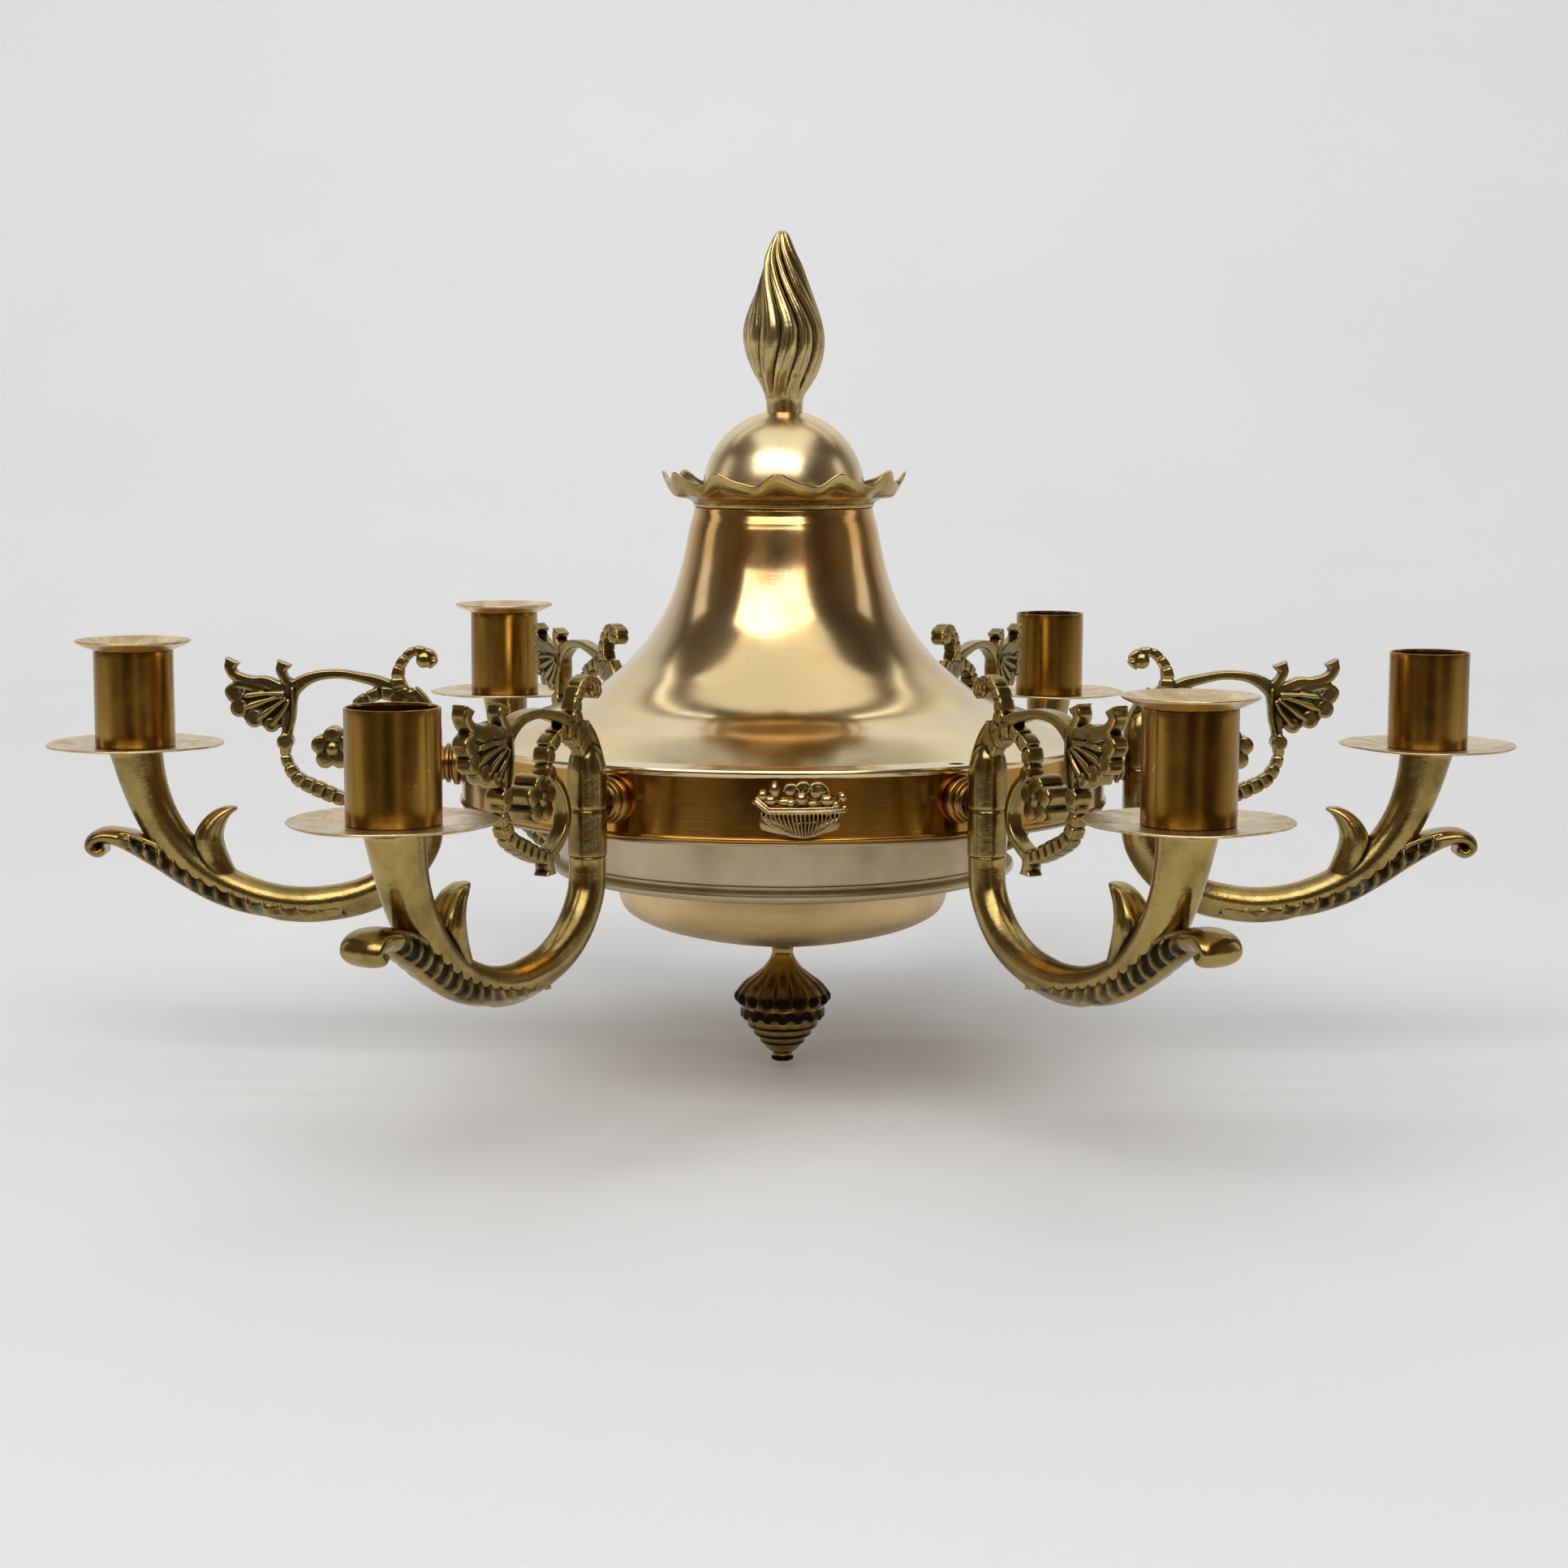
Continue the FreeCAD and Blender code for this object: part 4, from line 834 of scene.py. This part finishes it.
def make_bracket():
    """Pierced scroll casting with relief on both faces."""
    t = BRACKET_THICKNESS
    r = SOCKET_RADIUS
    foot = SOCKET_BOTTOM_Z
    leaf_face = t * 0.84
    ridge_face = t * 1.22

    def in_place(x, z):
        return (x, z)

    def seam(share, angle):
        return -0.35 * np.exp(-((share - 0.42) / 0.012) ** 2) * np.ones_like(angle)

    def boss(u, v, radius, half, edge, dome=0.0):
        return drum_along_y(bracket_point(u, v), radius, half, edge, dome)

    socket = limb(in_place, [
        (TUBE_X, foot, r, r), (TUBE_X, foot + 10, r, r), (TUBE_X, -4.0, r, r), (TUBE_X + 0.2, 1.0, 5.5, 5.4),
        (TUBE_X + 0.8, 4.6, 4.6, 4.4), (TUBE_X + 1.4, 7.2, 2.6, 2.6)], 160, 56, relief=seam)
    back = limb(in_place, [
        (PAD_X + 1.7, foot, 1.7, 3.2), (PAD_X + 1.7, -10, 1.7, 3.2), (PAD_X + 1.6, 0.0, 1.7, 3.1),
        (PAD_X + 3.0, 5.0, 1.9, 2.8), (PAD_X + 5.6, 9.6, 2.0, 2.6), (PAD_X + 9.0, 13.0, 2.2, 2.5)], 120,
                40, 4.0)
    top_scroll = [
        strap([(0.0, 0.26, 8.8), (0.015, 0.4, 8.0), (0.06, 0.52, 7.8), (0.11, 0.6, 6.4)], 4),
        strap([(0.1, 0.54, 6.8), (0.12, 0.66, 5.0), (0.125, 0.76, 4.0), (0.105, 0.86, 3.4),
               (0.045, 0.96, 3.0), (-0.03, 0.945, 2.8), (-0.055, 0.885, 2.8), (-0.025, 0.835, 2.6)],
              notches=8, depth=0.4, thickness=t * 1.05, count=160),
        boss(-0.008, 0.885, 2.4, t / 2 + 0.4, 0.7, 0.3)]
    arch = [
        strap([(0.09, 0.55, 5.6), (0.2, 0.68, 4.0), (0.31, 0.735, 3.0), (0.42, 0.765, 2.8),
               (0.54, 0.745, 3.3), (0.63, 0.67, 4.6), (0.69, 0.56, 5.6)], thickness=t * 0.94, count=140),
        strap([(0.655, 0.64, 3.4), (0.7, 0.74, 2.8), (0.715, 0.8, 3.0), (0.7, 0.845, 4.4),
               (0.695, 0.865, 5.2)]),
        strap([(0.675, 0.62, 6.2), (0.68, 0.48, 5.0), (0.683, 0.32, 3.6), (0.697, 0.19, 3.2)])]
    ribbed_foot = [
        strap([(0.697, 0.18, 3.4), (0.694, 0.03, 3.4), (0.64, -0.13, 4.4), (0.535, -0.225, 5.0),
               (0.43, -0.3, 4.6), (0.35, -0.34, 3.8)], notches=9, depth=0.6, count=200),
        boss(0.697, 0.185, 2.6, t / 2 + 0.5, 0.4)]
    horns = [
        strap([(0.68, 0.6, 4.4), (0.785, 0.69, 4.0), (0.865, 0.705, 3.2), (0.94, 0.745, 3.2),
               (0.972, 0.815, 3.0), (0.962, 0.86, 4.2), (0.955, 0.885, 5.0)], count=120),
        strap([(0.8, 0.62, 3.0), (0.88, 0.66, 2.4), (0.94, 0.67, 2.4), (0.975, 0.62, 2.8),
               (0.955, 0.56, 3.2)],
              count=110)]
    lobes = [strap(stations, thickness=leaf_face) for stations in (
        [(0.7, 0.57, 5.0), (0.78, 0.59, 5.0), (0.86, 0.575, 4.4), (0.93, 0.555, 3.6)],
        [(0.7, 0.55, 6.0), (0.78, 0.52, 6.4), (0.86, 0.475, 6.0), (0.915, 0.44, 5.0)],
        [(0.7, 0.53, 6.0), (0.75, 0.46, 6.6), (0.8, 0.4, 6.0), (0.83, 0.36, 4.6)],
        [(0.69, 0.5, 5.4), (0.72, 0.42, 5.6), (0.752, 0.335, 4.2)])]
    tips = [boss(u, v, size, t / 2, 0.6) for u, v, size in (
        (0.945, 0.585, 2.5), (0.925, 0.475, 2.9), (0.85, 0.385, 2.9), (0.765, 0.33, 2.4))]
    ridges = [strap(stations, 2.6, thickness=ridge_face) for stations in (
        [(0.7, 0.6, 1.6), (0.79, 0.6, 2.0), (0.87, 0.585, 2.6), (0.9, 0.58, 1.6)],
        [(0.7, 0.58, 1.6), (0.78, 0.545, 2.2), (0.86, 0.5, 3.2), (0.9, 0.475, 1.8)],
        [(0.69, 0.56, 1.6), (0.745, 0.49, 2.2), (0.8, 0.425, 3.2), (0.83, 0.39, 1.8)],
        [(0.675, 0.54, 1.6), (0.705, 0.45, 2.0), (0.745, 0.37, 2.6), (0.76, 0.34, 1.4)])]
    stem_ridge = strap([(0.655, 0.64, 1.4), (0.65, 0.5, 1.6), (0.66, 0.36, 1.6), (0.68, 0.24, 1.2)], 2.6,
                       thickness=t * 1.2)
    inner_scroll = [
        strap([(0.08, 0.5, 5.6), (0.18, 0.6, 4.2), (0.28, 0.56, 4.0), (0.34, 0.475, 4.2),
               (0.35, 0.355, 3.8), (0.34, 0.27, 3.2)], notches=6, depth=0.75, thickness=t * 1.1, count=180),
        boss(0.345, 0.3, 2.2, t / 2 + 0.5, 0.5),
        strap([(0.34, 0.29, 2.4), (0.29, 0.24, 2.4), (0.245, 0.16, 2.4), (0.21, 0.04, 2.4),
               (0.205, -0.06, 2.5), (0.225, -0.16, 2.7), (0.275, -0.25, 2.8), (0.34, -0.32, 3.2)], count=140),
        strap([(0.36, -0.31, 4.4), (0.352, -0.38, 3.2), (0.346, -0.43, 3.4), (0.345, -0.468, 5.4)]),
        strap([(0.34, 0.28, 3.0), (0.41, 0.2, 3.0)])]
    centre = bracket_point(0.455, 0.13)
    petals = 5
    flower = []
    for k in range(petals):
        a = math.radians(18 + 360 / petals * k)
        petal = (centre[0] + 4.0 * math.cos(a), centre[1] + 4.0 * math.sin(a))
        flower.append(drum_along_y(petal, 2.95, 4.1, 0.5, 0.15))
    flower.append(drum_along_y(centre, 3.6, 3.3, 0.5))
    flower.append(drum_along_y(centre, 2.0, 4.7, 0.7, 0.2))
    mesh = cast("bracket", [socket, back, *top_scroll, *arch, *ribbed_foot, *horns, *lobes, *tips, *ridges,
                            stem_ridge, *inner_scroll, *flower], 0.33)
    add_cavity(mesh, 14, 0.28)
    on_arms("bracket", mesh, bracket_metal, "scroll_bracket", sharp=None)


def make_collars():
    """Turned spacers with ribbed rings."""
    length = PAD_X - BAND_RADIUS
    sunk = 0.4
    start = BAND_RADIUS - sunk
    steps = ((0.0, 0.78), (0.14, 0.8), (0.2, 0.98), (0.3, 1.0), (0.44, 0.98), (0.5, 0.76), (0.58, 0.76),
             (0.63, 0.9), (0.76, 0.9), (0.81, 0.72), (0.88, 0.76), (1.0, 0.78))
    outer = [(COLLAR_RADIUS * k, start + (length + sunk) * share) for share, k in steps]
    section = rounded([(SCREW_HOLE, start)] + outer + [(SCREW_HOLE, PAD_X)], 0.3, 4)
    verts, faces = lathe(section, 96)
    verts = np.column_stack([verts[:, 2], verts[:, 1], COLLAR_AXIS_Z - verts[:, 0]])
    on_arms("collar", to_mesh("collar", verts, faces), collar_metal, "arm_collar")


def at_cup(kind, arm, section, steps, shape, material, node, body=ROOT):
    """A turned piece on the axis of an arm's cup."""
    verts, faces = lathe(section, steps, shape)
    mesh = to_mesh(f"{kind}_{arm}", verts + np.array([ARM_REACH, 0, 0]), faces)
    piece(f"{kind}_{arm}", mesh, material, [f"{node}_{arm}"], body, arm_turn(arm))


def make_plates():
    """Thin drip plates with a slight dish and a beaten, uneven edge."""
    low = plate_low[2]
    r = PLATE_RADIUS
    section = rounded([(SCREW_HOLE, low), (PLATE_FLAT_RADIUS, low), (r - 0.5, low + 1.15), (r, low + 1.55),
                       (r - 0.3, low + 1.95), (PLATE_FLAT_RADIUS, low + PLATE_SHEET),
                       (SCREW_HOLE, low + PLATE_SHEET)], 0.4)
    for arm in ARMS:
        def beaten(rr, zz, theta, seed=arm):
            share = np.clip(rr / r - 0.5, 0, 1)
            return rr, zz + share * (0.35 * np.sin(2 * theta + seed) + 0.18 * np.sin(5 * theta + 2.3 * seed))

        at_cup("plate", arm, section, 160, beaten, plate_metal, "drip_plate")


def make_cups():
    """Thin candle cups with a soft lip and a floor recess."""
    low = cup_low[2]
    top = cup_high[2]
    r = CUP_RADIUS
    wall = [(r, z) for z in np.linspace(low + 0.6, top - 0.5, 20)]
    bore = r - CUP_SHEET
    floor = low + CUP_FLOOR
    recess = 3.4
    lip = [(r - 0.05, top - 0.15), (r - 0.35, top), (r - 0.7, top - 0.1), (bore, top - 0.5)]
    inside = [(bore, z) for z in np.linspace(top - 1, floor + 0.2, 12)]
    section = np.vstack([[(SCREW_HOLE, low), (r - 0.4, low), (r - 0.05, low + 0.25)], wall, lip, inside,
                         [(r - 1.0, floor), (recess, floor), (recess, low + 0.8), (SCREW_HOLE, low + 0.8)]])
    for arm in ARMS:
        def drawn(rr, zz, theta, seed=arm):
            return rr + np.where(rr > 5, 0.06 * np.sin(2 * theta + seed) * (zz - low) / (top - low), 0), zz

        at_cup("cup", arm, section, 128, drawn, cup_metal, "candle_cup")


def make_rings():
    """Loose candle rings: a short neck and a thin dished flange."""
    top = cup_high[2]
    neck = CUP_RADIUS - 1.0
    bore = neck - RING_SHEET
    foot = top - RING_NECK_LENGTH
    section = rounded([(bore, foot), (neck, foot), (neck, top + 0.05), (CUP_RADIUS + 0.3, top + 0.1),
                       (17.6, top + 2.3), (18.1, top + 2.85), (17.9, top + 3.3),
                       (CUP_RADIUS + 0.4, top + 1.0), (neck - 0.4, top + 0.7), (bore, top + 0.3)], 0.35)
    for arm in RING_ARMS:
        at_cup("ring", arm, section, 128, None, plate_metal, "candle_ring", f"loose_ring_{arm}")


# ---------------------------------------------------------------- basket applique
def make_basket():
    """Basket of fruit in relief, wrapped round the band."""
    rim_z = -12.0
    foot_z = basket_low[2] + 0.1
    azimuth = math.atan2((basket_low[1] + basket_high[1]) / 2, (basket_low[0] + basket_high[0]) / 2)

    def wrap(verts):
        across, up, out = verts[:, 0], verts[:, 1], verts[:, 2]
        angle = azimuth + across / BAND_RADIUS
        radius = BAND_RADIUS + out
        return np.column_stack([radius * np.cos(angle), radius * np.sin(angle), up])

    def bulge(across):
        return 1.5 * max(1 - (across / 13.0) ** 2, 0) ** 0.5

    pieces = []
    staves = 19
    for k in range(staves):
        share = k / (staves - 1) - 0.5
        for t in np.linspace(0, 1, 14):
            across = share * (11.5 + 10.0 * math.sin(t * math.pi / 2)) + 0.6 * (1 - t)
            up = foot_z + 1.6 * (2 * share) ** 2 * (1 - t) + 0.2 + (rim_z - 0.4 - foot_z) * t
            pieces.append(ball((across, up, 0.8 + bulge(across)), 0.42, (0.95, 1.6, 1.9), 10))
    for t in np.linspace(-1, 1, 90):
        across = 12.4 * t
        out = bulge(across)
        up = rim_z + 0.3 + (2.8 * max(-t - 0.72, 0) / 0.28) + 0.25 * max(t, 0)
        pieces.append(ball((across, up, 0.8 + out), 0.85, (1, 0.9, 1), 10))
        pieces.append(ball((across * 0.98, up + 0.9, 0.5 + out), 0.75, (1, 0.9, 1), 10))
        pieces.append(ball((across * 0.86, foot_z + 2.2 + 1.6 * t ** 2, 0.8 * out - 0.3), 1.0,
                           (1, 2.2, 0.7), 10))
    fruit = ((-12.6, 2.9, 1.2, 0.7, 0.8), (-10.6, 5.0, 1.6, 1.5, 1.2), (-8.3, 3.6, 2.0, 1.5, 1.5),
             (-7.2, 6.6, 1.7, 2.3, 1.6), (-4.3, 3.2, 2.4, 1.2, 1.3), (0.4, 4.2, 2.3, 2.2, 2.6),
             (-2.6, 3.0, 1.7, 1.3, 1.8), (3.6, 2.8, 2.2, 1.0, 1.6), (7.7, 3.7, 2.5, 1.8, 2.0),
             (10.0, 2.4, 1.4, 1.3, 1.6), (12.0, 4.4, 1.3, 1.4, 1.2), (12.6, 1.2, 1.1, 1.1, 1.0))
    for across, up, wide, high, deep in fruit:
        pieces.append(ball((across, rim_z + up, 0.9), 1.0, (wide, high, deep), 20))
    for across, up, size in ((-2.5, 6.4, 2.1), (1.0, 7.0, 2.1), (5.1, 6.2, 2.9)):
        for a in np.linspace(0, math.pi, 24):
            edge = (across + size * math.cos(a), rim_z + up + size * math.sin(a) * 0.8, 0.9)
            pieces.append(ball(edge, 0.42, steps=10))
        pieces.append(ball((across, rim_z + up, 0.3), size, (1, 0.8, 0.28), 18))
    verts, faces = join(pieces)
    mesh = cast("basket", [(wrap(verts), faces)], 0.15)
    add_cavity(mesh, 12, 0.22)
    piece("basket", mesh, basket_metal, ["basket_applique"], sharp=None)


def dress_hidden():
    """Material for the studs, nuts, screws and rod that keep their CAD shape."""
    for node in ("centre_rod", "rod_nuts", "arm_studs", "arm_washers", "arm_nuts", "cup_screws",
                 "basket_rivets"):
        obj = frame["nodes"][node]
        obj.data.materials.clear()
        obj.data.materials.append(steel)


# ---------------------------------------------------------------- setting
def make_camera():
    """The camera stands in front of the basket and looks slightly down. Metres and radians."""
    distance = 0.9338
    height = 0.1018
    turn = -0.0132
    down = 0.1262
    roll = 0.0025
    aside = 0.0003
    camera = bpy.data.cameras.new("camera")
    camera.lens = 67.97
    camera.sensor_width = 36
    camera.clip_start = 0.01
    camera.clip_end = 30
    obj = bpy.data.objects.new("camera", camera)
    bpy.context.scene.collection.objects.link(obj)
    place = Matrix.Rotation(turn, 4, "Z") @ Matrix.Translation((aside, -distance, height))
    aim = Matrix.Rotation(math.pi / 2 - down, 4, "X") @ Matrix.Rotation(roll, 4, "Z")
    obj.matrix_world = place @ aim
    bpy.context.scene.camera = obj


def paper(name, colour):
    """Plain pale paper with a faint mottle."""
    s = Shader(name)
    shade = s.ramp(s.noise(3.0, 4, 0.5), 0.3, 0.7)
    tint = s.mix(shade, colour, tuple(c * 0.97 for c in colour))
    s.set(Base_Color=tint, Roughness=0.9, Normal=s.bump(s.noise(400, 3), 0.0001, 0.1))
    return s.material


def make_floor():
    """A wide pale sweep: a table whose paper curves up far behind."""
    low = cad_bounds[0][2] - 0.001
    half_width = 4.0
    path = [(-0.52, low), (0.9, low), (1.5, low + 0.04), (2.0, low + 0.35), (2.3, low + 1.0),
            (2.4, low + 3.0)]
    run = spline(path, 60)
    verts = [(x, y, z) for y, z in run for x in (-half_width, half_width)]
    faces = [(2 * i, 2 * i + 1, 2 * i + 3, 2 * i + 2) for i in range(len(run) - 1)]
    mesh = bpy.data.meshes.new("floor")
    mesh.from_pydata(verts, [], faces)
    mesh.shade_smooth()
    mesh.materials.append(paper("paper", (0.87, 0.88, 0.89)))
    obj = bpy.data.objects.new("floor", mesh)
    bpy.context.scene.collection.objects.link(obj)


def area_light(name, place, target, size, power, colour):
    """A rectangular lamp in watts, turned towards its target."""
    light = bpy.data.lights.new(name, "AREA")
    light.shape = "RECTANGLE"
    light.size, light.size_y = size
    light.energy = power
    light.color = colour
    obj = bpy.data.objects.new(name, light)
    bpy.context.scene.collection.objects.link(obj)
    obj.location = place
    obj.rotation_euler = (Vector(target) - Vector(place)).to_track_quat("-Z", "Y").to_euler()


def make_light():
    """Daylight studio: lamps overhead, in front and at both sides, in a dim warm room of upright bands."""
    world = bpy.data.worlds.new("room")
    world.use_nodes = True
    bpy.context.scene.world = world
    tree = world.node_tree
    place = tree.nodes.new("ShaderNodeTexCoord").outputs["Generated"]
    split = tree.nodes.new("ShaderNodeSeparateXYZ")
    tree.links.new(place, split.inputs[0])
    across = tree.nodes.new("ShaderNodeMapRange")
    across.inputs["From Min"].default_value = -1.0
    across.inputs["From Max"].default_value = 1.0
    tree.links.new(split.outputs[0], across.inputs["Value"])
    bands = tree.nodes.new("ShaderNodeValToRGB")
    bands.color_ramp.interpolation = "B_SPLINE"
    stops = ((0.0, 0.34), (0.16, 0.1), (0.27, 0.42), (0.36, 0.07), (0.5, 0.05), (0.6, 0.3), (0.66, 0.5),
             (0.72, 0.16), (0.85, 0.06), (1.0, 0.4))
    ramp = bands.color_ramp.elements
    while len(ramp) < len(stops):
        ramp.new(0.5)
    for element, (where, level) in zip(ramp, stops):
        element.position = where
        element.color = (level, level * 0.76, level * 0.5, 1)
    tree.links.new(across.outputs[0], bands.inputs[0])
    tree.links.new(bands.outputs[0], tree.nodes["Background"].inputs["Color"])
    rise = tree.nodes.new("ShaderNodeMapRange")
    for key, value in (("From Min", -0.05), ("From Max", 0.3), ("To Min", 0.6), ("To Max", 0.5)):
        rise.inputs[key].default_value = value
    tree.links.new(split.outputs[2], rise.inputs["Value"])
    tree.links.new(rise.outputs[0], tree.nodes["Background"].inputs["Strength"])
    area_light("ceiling", (0.0, -0.3, 2.3), (0, -0.3, 0), (2.6, 2.3), 18, (0.98, 1.0, 1.03))
    area_light("behind", (0.0, 1.5, 2.2), (0, 2.35, 1.2), (4.4, 0.9), 25, (0.97, 1.0, 1.04))
    area_light("front", (-0.4, -1.9, 1.95), (0, 0, 0), (3.3, 1.5), 52, (1.0, 1.0, 1.0))
    area_light("window_left", (-2.2, 0.4, 0.7), (0, 0, 0), (0.6, 1.3), 2, (1.0, 0.99, 0.97))
    area_light("window_right", (2.2, 0.2, 0.7), (0, 0, 0), (0.6, 1.3), 2, (0.97, 0.98, 1.0))


bpy.context.scene.view_settings.view_transform = "Standard"
make_camera()
make_light()
make_floor()
make_bell()
make_dome()
make_scallop()
make_flame()
make_band()
make_pan()
make_dish()
make_pendant()
make_branch()
make_bracket()
make_collars()
make_plates()
make_cups()
make_rings()
make_basket()
dress_hidden()
